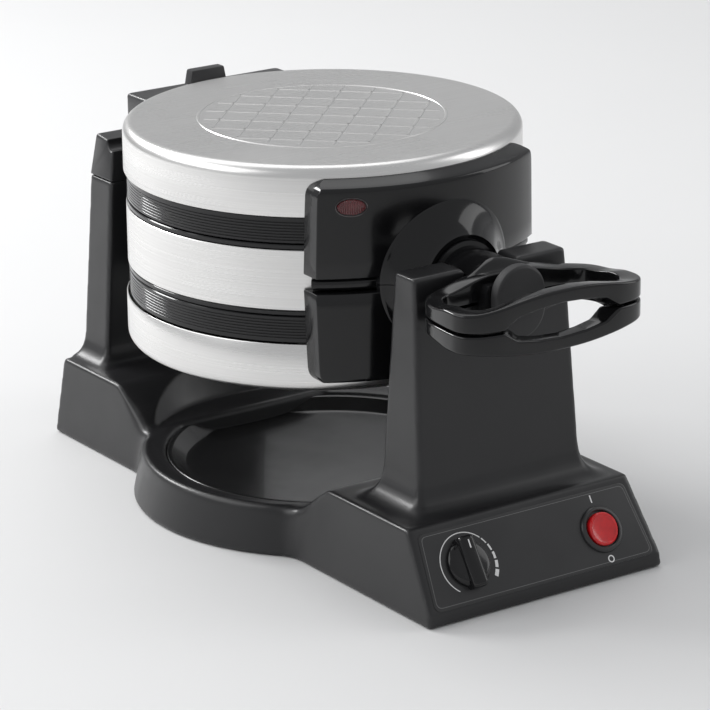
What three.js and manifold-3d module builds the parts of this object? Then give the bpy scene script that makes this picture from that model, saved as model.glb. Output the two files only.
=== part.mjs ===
// Flip-over double waffle maker: a round cooking unit turns end over end between two posts of a
// moulded base. Millimetres, +Z up, +X to the right, -Y to the front, where the handles are.
// The origin is the centre of the footprint, on the surface that the feet stand on.

import * as THREE from 'three';
import { ConvexGeometry } from 'three/addons/geometries/ConvexGeometry.js';
import { mergeVertices } from 'three/addons/utils/BufferGeometryUtils.js';
import Module from 'manifold-3d';

const wasm = await Module();
wasm.setup();

// Places of the moving axes
const UNIT_Y = 19; // the round unit stands this far behind the middle of the footprint
const AXIS_Z = 142; // flip axis above the table
const HINGE_Y = 103.4; // lid hinge behind the unit's centre
const HINGE_Z = 28; // lid hinge above the flip axis

// Gaps and wall thicknesses
const GAP = 0.3;
const WALL = 2.6;

// Round unit, heights counted from the flip axis
const COVER_R = 100;
const COVER_TOP = 56.7;
const COVER_FILLET = 5.7;
const COVER_WALL = 0.8;
const RING_R = 98.5;
const RING_BOTTOM = 18.2;
const RING_TOP = 31.5;
const RIM_TOP = 17.7;
const BAND_R = 99;
const BAND_HALF = 15;
const PLATE_R = 89.2;
const GRID_PITCH = 30;
const GRID_R = 80;
const PEG_SIZE = 14;

// Front bracket, bell and neck
const BRACKET_IN = 100.4;
const BRACKET_OUT = 109.5;
const BRACKET_LOW = 3.7;
const BRACKET_FRONT_TOP = 48.3;
const STRIP_OUT = 106.6; // the axle's bracket shows as a strip between the lids' brackets
const BELL_R = 37.3;
const BELL_END_R = 22;
const BELL_END_Y = -119.3;
const NECK_R = 17.2;
const NECK_SPLIT = 9.15; // half height at which the lids' arms part from the axle
const HANDLE_BACK_Y = -145.5;

// Handle loop
const SLIT = 0.7;
const LOOP_TOP = 8;
const FRONT_ARCH = 7.6;
const BACK_RISE = 4.6;

// Base
const TRAY_R = 100;
const TRAY_RIM_R = 95;
const TRAY_RIM_Z = 25;
const BLOCK_TOP = 42;
const BLOCK_HALF = 69.7;
const BLOCK_DRAFT = 0.1;
const BASE_LOW = 0.4;
const SADDLE_R = 18.8;
const REAR_SPLIT_Z = 141.6;
const BEARING_R = 14.3;
const BEARING_END_Y = 147;
const REAR_AXLE_R = 10.5;

// Control panel: a sloping face from its lower edge to its upper edge
const PANEL_LOW = new THREE.Vector3(0, -186.7, 7);
const PANEL_HIGH = new THREE.Vector3(0, -163.9, 42);
const DIAL_X = -39.3;
const DIAL_UP = 19.5;
const SWITCH_X = 39.8;
const SWITCH_UP = 18.6;
const ROCKER_TILT = THREE.MathUtils.degToRad(7);

const ROUND = 36; // segments of a large circle
const SMALL = 16; // segments of a small circle

// ---------------------------------------------------------------- materials

function plastic(color, roughness) {
  return new THREE.MeshStandardMaterial({ color, roughness, metalness: 0 });
}

function metal(color, roughness) {
  return new THREE.MeshStandardMaterial({ color, roughness, metalness: 1 });
}

const SATIN_BLACK = plastic(0x1c1c1e, 0.42);
const GLOSS_BLACK = plastic(0x101012, 0.12);
const MATTE_BLACK = plastic(0x232326, 0.7);
const RUBBER = plastic(0x151515, 0.9);
const RED = plastic(0xc01818, 0.25);
const DARK_RED = plastic(0x4a0a0c, 0.2);
const STEEL = metal(0xc9c7c2, 0.32);
const PLATE_COAT = metal(0x3a3a3c, 0.5);
const BARE_METAL = metal(0xa8a8a8, 0.4);

// ---------------------------------------------------------------- geometry helpers

function signedVolume(positions, index) {
  const a = new THREE.Vector3();
  const b = new THREE.Vector3();
  const c = new THREE.Vector3();
  let volume = 0;
  for (let i = 0; i < index.length; i += 3) {
    a.fromArray(positions, 3 * index[i]);
    b.fromArray(positions, 3 * index[i + 1]);
    c.fromArray(positions, 3 * index[i + 2]);
    volume += a.dot(b.cross(c));
  }
  return volume;
}

// A closed three.js geometry as a solid that can be joined and cut.
function solid(geometry) {
  const bare = geometry.clone();
  bare.deleteAttribute('normal');
  bare.deleteAttribute('uv');
  const welded = mergeVertices(bare, 1e-4);
  const positions = Float32Array.from(welded.attributes.position.array);
  const kept = [];
  const index = welded.index.array;
  for (let i = 0; i < index.length; i += 3) {
    const [a, b, c] = [index[i], index[i + 1], index[i + 2]];
    if (a !== b && b !== c && c !== a) {
      kept.push(a, b, c);
    }
  }
  if (signedVolume(positions, kept) < 0) {
    kept.reverse();
  }
  const triVerts = Uint32Array.from(kept);
  return new wasm.Manifold(new wasm.Mesh({ numProp: 3, vertProperties: positions, triVerts }));
}

function geometryOf(body) {
  const mesh = body.getMesh();
  const geometry = new THREE.BufferGeometry();
  geometry.setAttribute('position', new THREE.BufferAttribute(mesh.vertProperties, 3));
  geometry.setIndex(new THREE.BufferAttribute(mesh.triVerts, 1));
  return geometry;
}

// The same solid below the flip axis instead of above it.
function mirrored(body) {
  return solid(geometryOf(body).scale(1, 1, -1));
}

function join(...bodies) {
  return bodies.reduce((sum, body) => sum.add(body));
}

function box(x0, x1, y0, y1, z0, z1) {
  const geometry = new THREE.BoxGeometry(x1 - x0, y1 - y0, z1 - z0);
  geometry.translate((x0 + x1) / 2, (y0 + y1) / 2, (z0 + z1) / 2);
  return solid(geometry);
}

function hull(points) {
  return solid(new ConvexGeometry(points.map(([x, y, z]) => new THREE.Vector3(x, y, z))));
}

// A profile of [radius, height] pairs turned about the Z axis.
function turned(profile, segments = ROUND) {
  const points = profile.map(([r, z]) => new THREE.Vector2(r, z));
  return solid(new THREE.LatheGeometry(points, segments).rotateX(Math.PI / 2));
}

function ring(profile, segments = ROUND) {
  return turned([...profile, profile[0]], segments);
}

// A profile of [radius, y] pairs turned about the Y axis.
function turnedAlongY(profile, segments = 28) {
  const points = profile.map(([r, y]) => new THREE.Vector2(r, y));
  return solid(new THREE.LatheGeometry(points, segments));
}

function shapeOf(outline) {
  return new THREE.Shape(outline.map(([u, v]) => new THREE.Vector2(u, v)));
}

// A flat [x, z] outline given depth along Y.
function prismY(outline, y0, y1) {
  const geometry = new THREE.ExtrudeGeometry(shapeOf(outline), { depth: y1 - y0, bevelEnabled: false });
  return solid(geometry.rotateX(Math.PI / 2).translate(0, y1, 0));
}

// A flat [x, y] outline given depth along Z.
function prismZ(outline, z0, z1) {
  const geometry = new THREE.ExtrudeGeometry(shapeOf(outline), { depth: z1 - z0, bevelEnabled: false });
  return solid(geometry.translate(0, 0, z0));
}

function cylinderY(x, z, radius, y0, y1, segments = SMALL) {
  const geometry = new THREE.CylinderGeometry(radius, radius, y1 - y0, segments);
  return solid(geometry.translate(x, (y0 + y1) / 2, z));
}

function cylinderX(y, z, radius, x0, x1, segments = SMALL) {
  const geometry = new THREE.CylinderGeometry(radius, radius, x1 - x0, segments);
  return solid(geometry.rotateZ(Math.PI / 2).translate((x0 + x1) / 2, y, z));
}

function cylinderZ(x, y, radius, z0, z1, segments = SMALL) {
  const geometry = new THREE.CylinderGeometry(radius, radius, z1 - z0, segments);
  return solid(geometry.rotateX(Math.PI / 2).translate(x, y, (z0 + z1) / 2));
}

function arc(u, v, radius, from, to, steps) {
  const points = [];
  for (let i = 0; i <= steps; i += 1) {
    const angle = THREE.MathUtils.degToRad(from + ((to - from) * i) / steps);
    points.push([u + radius * Math.cos(angle), v + radius * Math.sin(angle)]);
  }
  return points;
}

// A closed outline from the points of its right half, smoothed, and their mirror images.
function symmetricOutline(rightHalf, steps) {
  const left = rightHalf.slice(1, -1).reverse().map(([x, y]) => [-x, y]);
  const loop = [...rightHalf, ...left].map(([x, y]) => new THREE.Vector3(x, y, 0));
  const curve = new THREE.CatmullRomCurve3(loop, true, 'centripetal');
  return curve.getPoints(steps).slice(0, -1).map((point) => [point.x, point.y]);
}

// ---------------------------------------------------------------- assembly

const model = new THREE.Group();
model.position.y = UNIT_Y;
const unit = new THREE.Group();
unit.position.z = AXIS_Z;
model.add(unit);

function add(parent, name, body, material) {
  const mesh = new THREE.Mesh(geometryOf(body), material);
  mesh.name = name;
  parent.add(mesh);
  return mesh;
}

// ---------------------------------------------------------------- base housing

// Every outline edge moved inwards by the same amount; the outline is convex and anticlockwise.
function insetConvex(outline, amount) {
  const moved = outline.map(([u, v], i) => {
    const [p, q] = outline[(i + 1) % outline.length];
    const length = Math.hypot(p - u, q - v);
    const shift = [(-(q - v) / length) * amount, ((p - u) / length) * amount];
    return { u: u + shift[0], v: v + shift[1], du: (p - u) / length, dv: (q - v) / length };
  });
  return moved.map((edge, i) => {
    const before = moved[(i + moved.length - 1) % moved.length];
    const cross = before.du * edge.dv - before.dv * edge.du;
    const along = ((edge.u - before.u) * edge.dv - (edge.v - before.v) * edge.du) / cross;
    return [before.u + before.du * along, before.v + before.dv * along];
  });
}

// A block with a [y, z] side profile whose two sides lean in towards the top.
function draftedBlock(profile, halfWidth, draft, inset) {
  const points = insetConvex(profile, inset).flatMap(([y, z]) => {
    const x = halfWidth - draft * z - inset;
    return [[x, y, z], [-x, y, z]];
  });
  return hull(points);
}

const FRONT_BLOCK = [
  [-187.2, BASE_LOW],
  [-71.5, BASE_LOW],
  [-71.5, 25],
  [-96.8, BLOCK_TOP],
  [PANEL_HIGH.y, PANEL_HIGH.z],
  [PANEL_LOW.y, PANEL_LOW.z],
];

const REAR_BLOCK = [
  [72, BASE_LOW],
  [159.7, BASE_LOW],
  [155.1, BLOCK_TOP],
  [98.5, BLOCK_TOP],
  [72, 26],
];

// Crowned top of the front post
function frontPost(inset) {
  const points = [];
  for (const side of [-1, 1]) {
    points.push([side * (48.6 - inset), -150.6 + inset, 30], [side * (48.6 - inset), -117.3 - inset, 30]);
    points.push([side * (47.4 - inset), -117.3 - inset, 30], [side * (44.5 - inset), -139.6 + inset, 155]);
    points.push([side * (44.5 - inset), -126.3 - inset, 155], [side * (42.6 - inset), -141.4 + inset, 155]);
    points.push([side * (42.6 - inset), -124.5 - inset, 155]);
  }
  for (const x of [-42, -28, -14, 0, 14, 28, 42]) {
    const top = 158.3 - (x * x) / 624 - inset;
    const half = x * (1 - inset / 42);
    points.push([half, -140.9 + inset, top], [half, -125 - inset, top]);
  }
  return hull(points);
}

// Rear post as a [y, z] profile: upright front, leaning back, sloping top with a hollowed corner
const REAR_POST_HALF = 52.5; // at the table, before the sides draw in
const REAR_POST_DRAFT = 0.048;
const SCOOP_R = 5.4;
const SCOOP_Y = 130.6;
const SCOOP_Z = 163.6;

function rearPost(inset, bottom) {
  const profile = [[131, bottom], [155.1, bottom], [152.5, AXIS_Z], [147.4, 165], [131, 163]];
  return draftedBlock(profile, REAR_POST_HALF, REAR_POST_DRAFT, inset);
}

function scoop() {
  return cylinderX(SCOOP_Y, SCOOP_Z, SCOOP_R, -60, 60, 24);
}

// The open space above the tray: drip tray recess, ring and rim, up past the blocks
const BOWL_SPACE = [
  [0, 10.8],
  [40, 11.8],
  [70, 13.9],
  [75.5, 16.3],
  [79.2, 20.4],
  [82.8, 20.4],
  [82.8, 23.2],
  [86.3, 24.2],
  [93, TRAY_RIM_Z],
  [93, 60],
  [0, 60],
];

const BOWL_BACKING = [
  [0, 8.3],
  [40, 9.3],
  [71, 11.3],
  [77.5, 14.4],
  [81, 18],
  [85.2, 18],
  [86.5, 21.6],
  [95.4, 22.4],
  [95.4, 60],
  [0, 60],
];

// The front notch: a round saddle that wraps above the axle, with a flared mouth.
function saddleSpace(extra) {
  const mouth = [[-15.2 - extra, 0], [15.2 + extra, 0], [15.2 + extra, 11.4], [18.6 + extra, 15.6],
    [18.6 + extra, 30], [-18.6 - extra, 30], [-18.6 - extra, 15.6], [-15.2 - extra, 11.4]];
  const round = cylinderY(0, 0, SADDLE_R + extra, -160, -110, 36);
  return join(round, prismY(mouth, -160, -110)).translate([0, 0, AXIS_Z]);
}

const slope = PANEL_HIGH.clone().sub(PANEL_LOW).normalize();
const panelNormal = new THREE.Vector3().crossVectors(new THREE.Vector3(1, 0, 0), slope);

// Places a solid that was drawn on a flat panel: its X stays, its Y runs up the slope, its Z points out.
function ontoPanel(body, x, up, tilt = 0) {
  const basis = new THREE.Matrix4().makeBasis(new THREE.Vector3(1, 0, 0), slope, panelNormal);
  const place = new THREE.Matrix4().makeTranslation(x, 0, 0);
  place.multiply(new THREE.Matrix4().makeTranslation(PANEL_LOW.x, PANEL_LOW.y, PANEL_LOW.z));
  place.multiply(basis);
  place.multiply(new THREE.Matrix4().makeTranslation(0, up, 0));
  place.multiply(new THREE.Matrix4().makeRotationX(tilt));
  return solid(geometryOf(body).applyMatrix4(place));
}

const PANEL_DEPTH = 1.2;

function panelOutline(shrink) {
  const low = 65.6 - shrink;
  const high = 61.6 - shrink;
  const bottom = 0.4 + shrink;
  const top = 38.6 - shrink;
  const r = 4;
  return [
    ...arc(-low + r, bottom + r, r, 180, 270, 4),
    ...arc(low - r, bottom + r, r, 270, 360, 4),
    ...arc(high - r, top - r, r, 0, 90, 4),
    ...arc(-high + r, top - r, r, 90, 180, 4),
  ];
}

function makeBaseHousing() {
  const tray = turned([[0, BASE_LOW], [TRAY_R, BASE_LOW], [96, 20.8], [TRAY_RIM_R + 0.6, 22.8],
    [TRAY_RIM_R - 0.2, 24.4], [93, TRAY_RIM_Z], [0, TRAY_RIM_Z]]);
  const trayHollow = turned([[0, 0], [TRAY_R - WALL, 0], [93.2, 22.2], [0, 22.2]]);
  const outside = join(tray, draftedBlock(FRONT_BLOCK, BLOCK_HALF, BLOCK_DRAFT, 0),
    draftedBlock(REAR_BLOCK, BLOCK_HALF, BLOCK_DRAFT, 0), frontPost(0), rearPost(0, 30));
  const blockHollows = [FRONT_BLOCK, REAR_BLOCK].map((profile) => {
    const lowered = profile.map(([y, z]) => [y, z === BASE_LOW ? z - 2 * WALL : z]);
    return draftedBlock(lowered, BLOCK_HALF, BLOCK_DRAFT, WALL);
  });
  const frontHollow = frontPost(WALL).subtract(saddleSpace(WALL));
  const bearingWall = cylinderY(0, AXIS_Z, BEARING_R + WALL, 120, 160, 28);
  const belowSplit = box(-60, 60, 120, 160, 0, REAR_SPLIT_Z - WALL);
  const rearHollow = rearPost(WALL, 30 - 2 * WALL).intersect(belowSplit).subtract(bearingWall);
  const hollow = join(trayHollow, ...blockHollows, frontHollow, rearHollow).subtract(turned(BOWL_BACKING));
  const aboveSplit = box(-60, 60, 120, 170, REAR_SPLIT_Z - GAP / 2, 170);
  const bearing = cylinderY(0, AXIS_Z, BEARING_R, 120, BEARING_END_Y, 28);
  const recess = ontoPanel(prismZ(panelOutline(0), -PANEL_DEPTH, 4), 0, 0);
  const shaftHole = ontoPanel(cylinderZ(0, 0, 4, -8, 4), DIAL_X, DIAL_UP);
  const switchHole = ontoPanel(cylinderZ(0, 0, 10.6, -8, 4, 28), SWITCH_X, SWITCH_UP);
  const glandHole = cylinderY(GLAND_X, GLAND_Z, 5.6, 150, 165);
  const screwHoles = SCREW_X.map((x) => cylinderZ(x, SCREW_Y, 2.2, 130, 145, 12));
  return outside.subtract(join(turned(BOWL_SPACE), saddleSpace(0), hollow, aboveSplit, bearing, recess,
    shaftHole, switchHole, glandHole, ...screwHoles));
}

const GLAND_X = 40;
const GLAND_Z = 16;
const SCREW_X = [-32, 32];
const SCREW_Y = 142;

add(model, 'base_housing', makeBaseHousing(), SATIN_BLACK);

function makeRearCap() {
  const above = box(-60, 60, 120, 170, REAR_SPLIT_Z + GAP / 2, 170);
  const outside = rearPost(0, 120).subtract(scoop()).intersect(above);
  const hollow = rearPost(WALL, 120)
    .subtract(cylinderX(SCOOP_Y, SCOOP_Z, SCOOP_R + WALL, -60, 60, 24))
    .subtract(cylinderY(0, AXIS_Z, BEARING_R + WALL, 120, 160, 28));
  const bosses = SCREW_X.map((x) => cylinderZ(x, SCREW_Y, 5, 130, 163.4));
  const threads = SCREW_X.map((x) => cylinderZ(x, SCREW_Y, 1.9, 130, 158, 12));
  const hollowed = outside.subtract(hollow.subtract(join(...bosses)));
  return hollowed.subtract(join(cylinderY(0, AXIS_Z, BEARING_R, 120, BEARING_END_Y, 28), ...threads));
}

add(model, 'rear_post_cap', makeRearCap(), SATIN_BLACK);

SCREW_X.forEach((x, i) => {
  const head = cylinderZ(x, SCREW_Y, 3.6, 135.6, 138.6, 16);
  const shank = cylinderZ(x, SCREW_Y, 1.6, 138, 155, 12);
  add(model, `rear_cap_screw_${i + 1}`, head.add(shank), BARE_METAL);
});

// ---------------------------------------------------------------- bearings

function makeSaddleBush() {
  const sleeve = cylinderY(0, 0, 18.5, -138, -128, 36).subtract(cylinderY(0, 0, 17.6, -140, -126, 36));
  return sleeve.subtract(box(-30, 30, -140, -126, 9, 30));
}

function makeBearingBush() {
  const outer = cylinderY(0, 0, BEARING_R - GAP, 132, BEARING_END_Y - GAP, 28);
  return outer.subtract(cylinderY(0, 0, REAR_AXLE_R + GAP, 130, 150, 28));
}

const bearings = new THREE.Group();
bearings.position.z = AXIS_Z;
model.add(bearings);
add(bearings, 'front_saddle_bush', makeSaddleBush(), MATTE_BLACK);
add(bearings, 'rear_bearing_bush', makeBearingBush(), MATTE_BLACK);

// ---------------------------------------------------------------- bottom plates, feet, gland

const PLATE_LOW = 3.4;
const PLATE_THICK = 1.8;
const FOOT_R = 8;

function bottomPlate(y0, y1) {
  const half = BLOCK_HALF - WALL - 1;
  const plate = box(-half, half, y0, y1, PLATE_LOW, PLATE_LOW + PLATE_THICK);
  return plate.subtract(turned([[0, 0], [TRAY_R + 1, 0], [TRAY_R + 1, 10], [0, 10]]));
}

add(model, 'front_bottom_plate', bottomPlate(-183.2, -76), MATTE_BLACK);
add(model, 'rear_bottom_plate', bottomPlate(78, 155.6), MATTE_BLACK);

[[-54, -170], [54, -170], [-54, 142], [54, 142]].forEach(([x, y], i) => {
  const foot = new THREE.CylinderGeometry(FOOT_R, FOOT_R - 1, PLATE_LOW - GAP, 24);
  foot.rotateX(Math.PI / 2).translate(x, y, (PLATE_LOW - GAP) / 2);
  add(model, `rubber_foot_${i + 1}`, solid(foot), RUBBER);
});

function makeGland() {
  const collar = cylinderY(GLAND_X, GLAND_Z, 7.4, 159, 160.2);
  const sleeve = cylinderY(GLAND_X, GLAND_Z, 5.2, 153, 159.5);
  return collar.add(sleeve).subtract(cylinderY(GLAND_X, GLAND_Z, 3.6, 150, 165));
}

add(model, 'cord_gland', makeGland(), RUBBER);

// ---------------------------------------------------------------- controls

function makePanel() {
  const plate = prismZ(panelOutline(GAP), -PANEL_DEPTH + GAP, 0);
  const dialHole = cylinderZ(DIAL_X, DIAL_UP, 4, -5, 5);
  const switchHole = cylinderZ(SWITCH_X, SWITCH_UP, 10.6, -5, 5, 28);
  return ontoPanel(plate.subtract(join(dialHole, switchHole)), 0, 0);
}

const DIAL_R = 13;
const DIAL_BODY_R = 11.4;

function makeDial() {
  const skirt = turned([[0, 0.5], [DIAL_R, 0.5], [DIAL_R, 2], [DIAL_BODY_R, 3.2], [10.8, 8], [0, 8]], 24);
  const bar = hull([-1, 1].flatMap((side) => [
    [side * 3.6, -11.5, 4], [side * 3.6, 11.5, 4],
    [side * 2.4, -9.5, 14], [side * 2.4, 9.5, 14],
  ]));
  return ontoPanel(join(skirt, bar).subtract(cylinderZ(0, 0, 3, -1, 6)), DIAL_X, DIAL_UP);
}

function makeThermostat() {
  const can = box(-14, 14, -9, 12, -16, -7);
  const collar = cylinderZ(0, 0, 7, -8, -4.5);
  return ontoPanel(can.add(collar).subtract(cylinderZ(0, 0, 3, -12, 0)), DIAL_X, DIAL_UP);
}

const BEZEL_R = 11.7;
const BEZEL_HOLE_R = 9.2;
const ROCKER_R = 8.6;

function makeBezel() {
  const profile = [[BEZEL_HOLE_R, -9], [10.3, -9], [10.3, 0.3], [BEZEL_R, 0.3], [BEZEL_R, 1], [10.8, 2.2],
    [BEZEL_HOLE_R, 2.2]];
  return ontoPanel(ring(profile, 24), SWITCH_X, SWITCH_UP);
}

function makeRocker() {
  const face = [[0, -3], [ROCKER_R - 0.4, -3], [ROCKER_R, 0], [ROCKER_R, 2.4], [7.6, 3.4], [0, 3]];
  return ontoPanel(turned(face, 24), SWITCH_X, SWITCH_UP, ROCKER_TILT);
}

function makeSwitchBody() {
  const can = box(-8, 8, -7, 8, -20, -9.4);
  const tabs = [-4, 4].map((x) => box(x - 0.5, x + 0.5, -3, 3, -25, -19));
  return ontoPanel(join(can, ...tabs), SWITCH_X, SWITCH_UP);
}

add(model, 'control_panel', makePanel(), GLOSS_BLACK);
add(model, 'browning_dial', makeDial(), GLOSS_BLACK);
add(model, 'dial_shaft', ontoPanel(cylinderZ(0, 0, 2.7, -11.5, 5.7), DIAL_X, DIAL_UP), BARE_METAL);
add(model, 'thermostat_body', makeThermostat(), BARE_METAL);
add(model, 'switch_bezel', makeBezel(), GLOSS_BLACK);
add(model, 'power_rocker', makeRocker(), RED);
add(model, 'switch_body', makeSwitchBody(), MATTE_BLACK);

// ---------------------------------------------------------------- drip tray

const DRIP_TRAY = [
  [0, 13],
  [40, 14],
  [70, 16.2],
  [76, 18.7],
  [79.6, 22.6],
  [82.4, 22.9],
  [82.4, 20.8],
  [79.4, 20.8],
  [75.3, 17],
  [70, 14.5],
  [40, 12.4],
  [0, 11.4],
];

add(model, 'drip_tray', turned(DRIP_TRAY), GLOSS_BLACK);

// ---------------------------------------------------------------- middle housing

function waffleGrid(from, to) {
  const pegs = [];
  const reach = Math.floor(GRID_R / GRID_PITCH) + 0.5;
  for (let i = -reach; i <= reach; i += 1) {
    for (let j = -reach; j <= reach; j += 1) {
      const [x, y] = [i * GRID_PITCH, j * GRID_PITCH];
      if (Math.hypot(x, y) < GRID_R) {
        pegs.push(box(x - PEG_SIZE / 2, x + PEG_SIZE / 2, y - PEG_SIZE / 2, y + PEG_SIZE / 2, from, to));
      }
    }
  }
  return join(...pegs);
}

function addMiddle() {
  const band = ring([[BAND_R - 0.8, -BAND_HALF], [BAND_R, -BAND_HALF], [BAND_R, BAND_HALF],
    [BAND_R - 0.8, BAND_HALF]]);
  add(unit, 'middle_band', band, STEEL);
  const chassis = ring([[92, -10.6], [97.8, -10.6], [97.8, 10.6], [92, 10.6]], 36);
  add(unit, 'middle_chassis', chassis, BARE_METAL);
  const rim = ring([[88, 13.9], [97.8, 13.9], [97.8, BAND_HALF + GAP], [98.7, BAND_HALF + GAP],
    [98.7, RIM_TOP], [88, RIM_TOP]]);
  const plate = turned([[0, 11], [97.5, 11], [97.5, 13.6], [0, 13.6]], 36);
  const gridded = plate.add(waffleGrid(13, 17.4));
  add(unit, 'middle_rim_upper', rim, GLOSS_BLACK);
  add(unit, 'middle_rim_lower', mirrored(rim), GLOSS_BLACK);
  add(unit, 'middle_plate_upper', gridded, PLATE_COAT);
  add(unit, 'middle_plate_lower', mirrored(gridded), PLATE_COAT);
  const coil = new THREE.TorusGeometry(55, 3.5, 5, 20);
  add(unit, 'middle_heating_element', solid(coil), BARE_METAL);
}

addMiddle();

// ---------------------------------------------------------------- axles and hinge

// The round neck that the axle and the two lids' arms share
function neck(from, to, grow = 0) {
  const profile = [[0, from], [NECK_R + grow, from], [NECK_R + grow, to], [0, to]];
  return turnedAlongY(profile);
}

function bandBetween(z0, z1) {
  return box(-120, 120, -220, 220, z0, z1);
}

function makeFrontAxle() {
  const strip = ring([[99.4, -3.1], [105, -3.1], [STRIP_OUT, -1.4],
    [STRIP_OUT, 1.4], [105, 3.1], [99.4, 3.1]], 60);
  const strips = strip.intersect(box(-62.6, 62.6, -110, -60, -5, 5));
  const body = neck(-159.8, -99.4).intersect(bandBetween(-NECK_SPLIT + 0.15, NECK_SPLIT - 0.15));
  const rounded = body.subtract(turned([[0, -20], [99.4, -20], [99.4, 20], [0, 20]], 96));
  return strips.add(rounded).subtract(cylinderY(0, 0, 2.2, -161, -140, 12));
}

function makeEndCap() {
  const halfWidth = 14.2;
  const outline = [...arc(0, 3.8, halfWidth, 0, 180, 14), ...arc(0, -3.8, halfWidth, 180, 360, 14)];
  const inner = outline.map(([x, z]) => [x * 0.93, z * 0.94]);
  const plate = prismY(outline, -165, -160.1);
  const face = prismY(inner, -166, -164);
  return plate.add(face).subtract(cylinderY(0, 0, 2.2, -162, -150, 12));
}

function makeYoke() {
  const back = box(-45, 45, 100.8, 112, -15.5, 15.5);
  const ears = [-1, 1].flatMap((side) => [-1, 1].map((level) => {
    const x0 = side > 0 ? 31 : -45;
    const web = box(x0, x0 + 14, 100.8, 111.4, Math.min(0, level * HINGE_Z), Math.max(0, level * HINGE_Z));
    const barrel = cylinderX(HINGE_Y, level * HINGE_Z, 8, x0, x0 + 14, 24);
    return web.add(barrel.intersect(box(-60, 60, 100.8, 120, -60, 60)));
  }));
  const pins = [-1, 1].map((level) => cylinderX(HINGE_Y, level * HINGE_Z, 2.3, -60, 60, 16));
  const bore = cylinderY(0, 0, REAR_AXLE_R + GAP, 104, 120, 28);
  return join(back, ...ears).subtract(join(...pins, bore));
}

add(unit, 'front_axle', makeFrontAxle(), GLOSS_BLACK);
add(unit, 'axle_end_cap', makeEndCap(), MATTE_BLACK);
add(unit, 'end_cap_screw', cylinderY(0, 0, 1.9, -161.6, -142, 12), BARE_METAL);
add(unit, 'rear_hinge_yoke', makeYoke(), SATIN_BLACK);
add(unit, 'rear_axle', cylinderY(0, 0, REAR_AXLE_R, 104.4, BEARING_END_Y - 1, 28), BARE_METAL);
add(unit, 'upper_hinge_pin', cylinderX(HINGE_Y, HINGE_Z, 2, -44.5, 44.5, 16), BARE_METAL);
add(unit, 'lower_hinge_pin', cylinderX(HINGE_Y, -HINGE_Z, 2, -44.5, 44.5, 16), BARE_METAL);

// ---------------------------------------------------------------- lids

function makeCover() {
  const centre = COVER_R - COVER_FILLET;
  const outer = arc(centre, COVER_TOP - COVER_FILLET, COVER_FILLET, 0, 90, 2);
  const inner = arc(centre, COVER_TOP - COVER_FILLET, COVER_FILLET - COVER_WALL, 90, 0, 2);
  const low = RING_TOP + GAP;
  return turned([[COVER_R - COVER_WALL, low], [COVER_R, low], ...outer, [0, COVER_TOP],
    [0, COVER_TOP - COVER_WALL], ...inner, [COVER_R - COVER_WALL, low]].reverse());
}

function makeRing() {
  return ring([[89.6, RING_BOTTOM], [RING_R, RING_BOTTOM], [RING_R, RING_TOP], [84, RING_TOP], [84, 30.9],
    [89.6, 30.9]]);
}

function makeLidPlate() {
  const disc = turned([[0, 28], [PLATE_R, 28], [PLATE_R, 30.6], [0, 30.6]], 36);
  return disc.add(waffleGrid(23, 29));
}

const LENS_ANGLE = THREE.MathUtils.degToRad(-26.9); // round from straight ahead, to the left
const LENS_Z = 39.3;
const LENS_HALF = [7.3, 4.2];

// An oval post standing out of the curved bracket, from one radius to another.
function ovalPost(grow, from, to) {
  const outline = [];
  for (let i = 0; i < 20; i += 1) {
    const angle = (i / 20) * 2 * Math.PI;
    outline.push([(LENS_HALF[0] + grow) * Math.cos(angle), (LENS_HALF[1] + grow) * Math.sin(angle)]);
  }
  const geometry = geometryOf(prismY(outline, -to, -from));
  return solid(geometry.rotateZ(LENS_ANGLE).translate(0, 0, LENS_Z));
}

function makeFrontBracket(withLens) {
  const curve = ring([[BRACKET_IN, BRACKET_LOW], [BRACKET_OUT - 0.8, BRACKET_LOW],
    [BRACKET_OUT, BRACKET_LOW + 0.8], [BRACKET_OUT, BRACKET_FRONT_TOP - 1],
    [BRACKET_OUT - 1.2, BRACKET_FRONT_TOP + 0.3], [BRACKET_IN, 51]], 60);
  const face = prismY([[-64.3, 3], [64.3, 3], [63.4, 41], ...arc(55.3, 43, 8, 0, 90, 5),
    ...arc(-55.3, 43, 8, 90, 180, 5), [-63.4, 41]], -112, -60);
  const bell = turnedAlongY([[0, BELL_END_Y], [BELL_END_R, BELL_END_Y], [23.4, -116.4], [26.6, -113.2],
    [31.6, -110.4], [BELL_R, -108.6], [BELL_R, -100], [0, -100]], 40);
  const housingSpace = turned([[0, -5], [BRACKET_IN, -5], [BRACKET_IN, 60], [0, 60]], 60);
  const stripEdge = STRIP_OUT + 0.6;
  const stripSpace = turned([[0, -5], [stripEdge, -5], [stripEdge, BRACKET_LOW], [0, BRACKET_LOW]], 60);
  const bellHalf = bell.intersect(bandBetween(GAP / 2, 60)).subtract(join(housingSpace, stripSpace));
  const axleSpace = neck(-130, -90, 0.4).intersect(bandBetween(-20, NECK_SPLIT + 0.15));
  const screwHole = cylinderY(0, 13, 2.8, -130, -90, 12);
  const headSpace = cylinderY(0, 13, 4, -104.6, -90, 16);
  const plain = join(curve.intersect(face), bellHalf).subtract(join(axleSpace, screwHole, headSpace));
  return withLens ? plain.subtract(ovalPost(1.2, 104, 115)) : plain;
}

// Top of the handle loop against x: an arched front bar and a back bar that swells at the neck
function loopProfile(height) {
  const outline = [[-60, SLIT]];
  outline.push([60, SLIT]);
  for (let x = 60; x >= -60; x -= 7.5) {
    outline.push([x, height(x)]);
  }
  return outline;
}

function frontBarTop(x) {
  const t = Math.min(Math.abs(x) / 50, 1);
  return LOOP_TOP + FRONT_ARCH * (0.5 + 0.5 * Math.cos(Math.PI * t));
}

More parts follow.
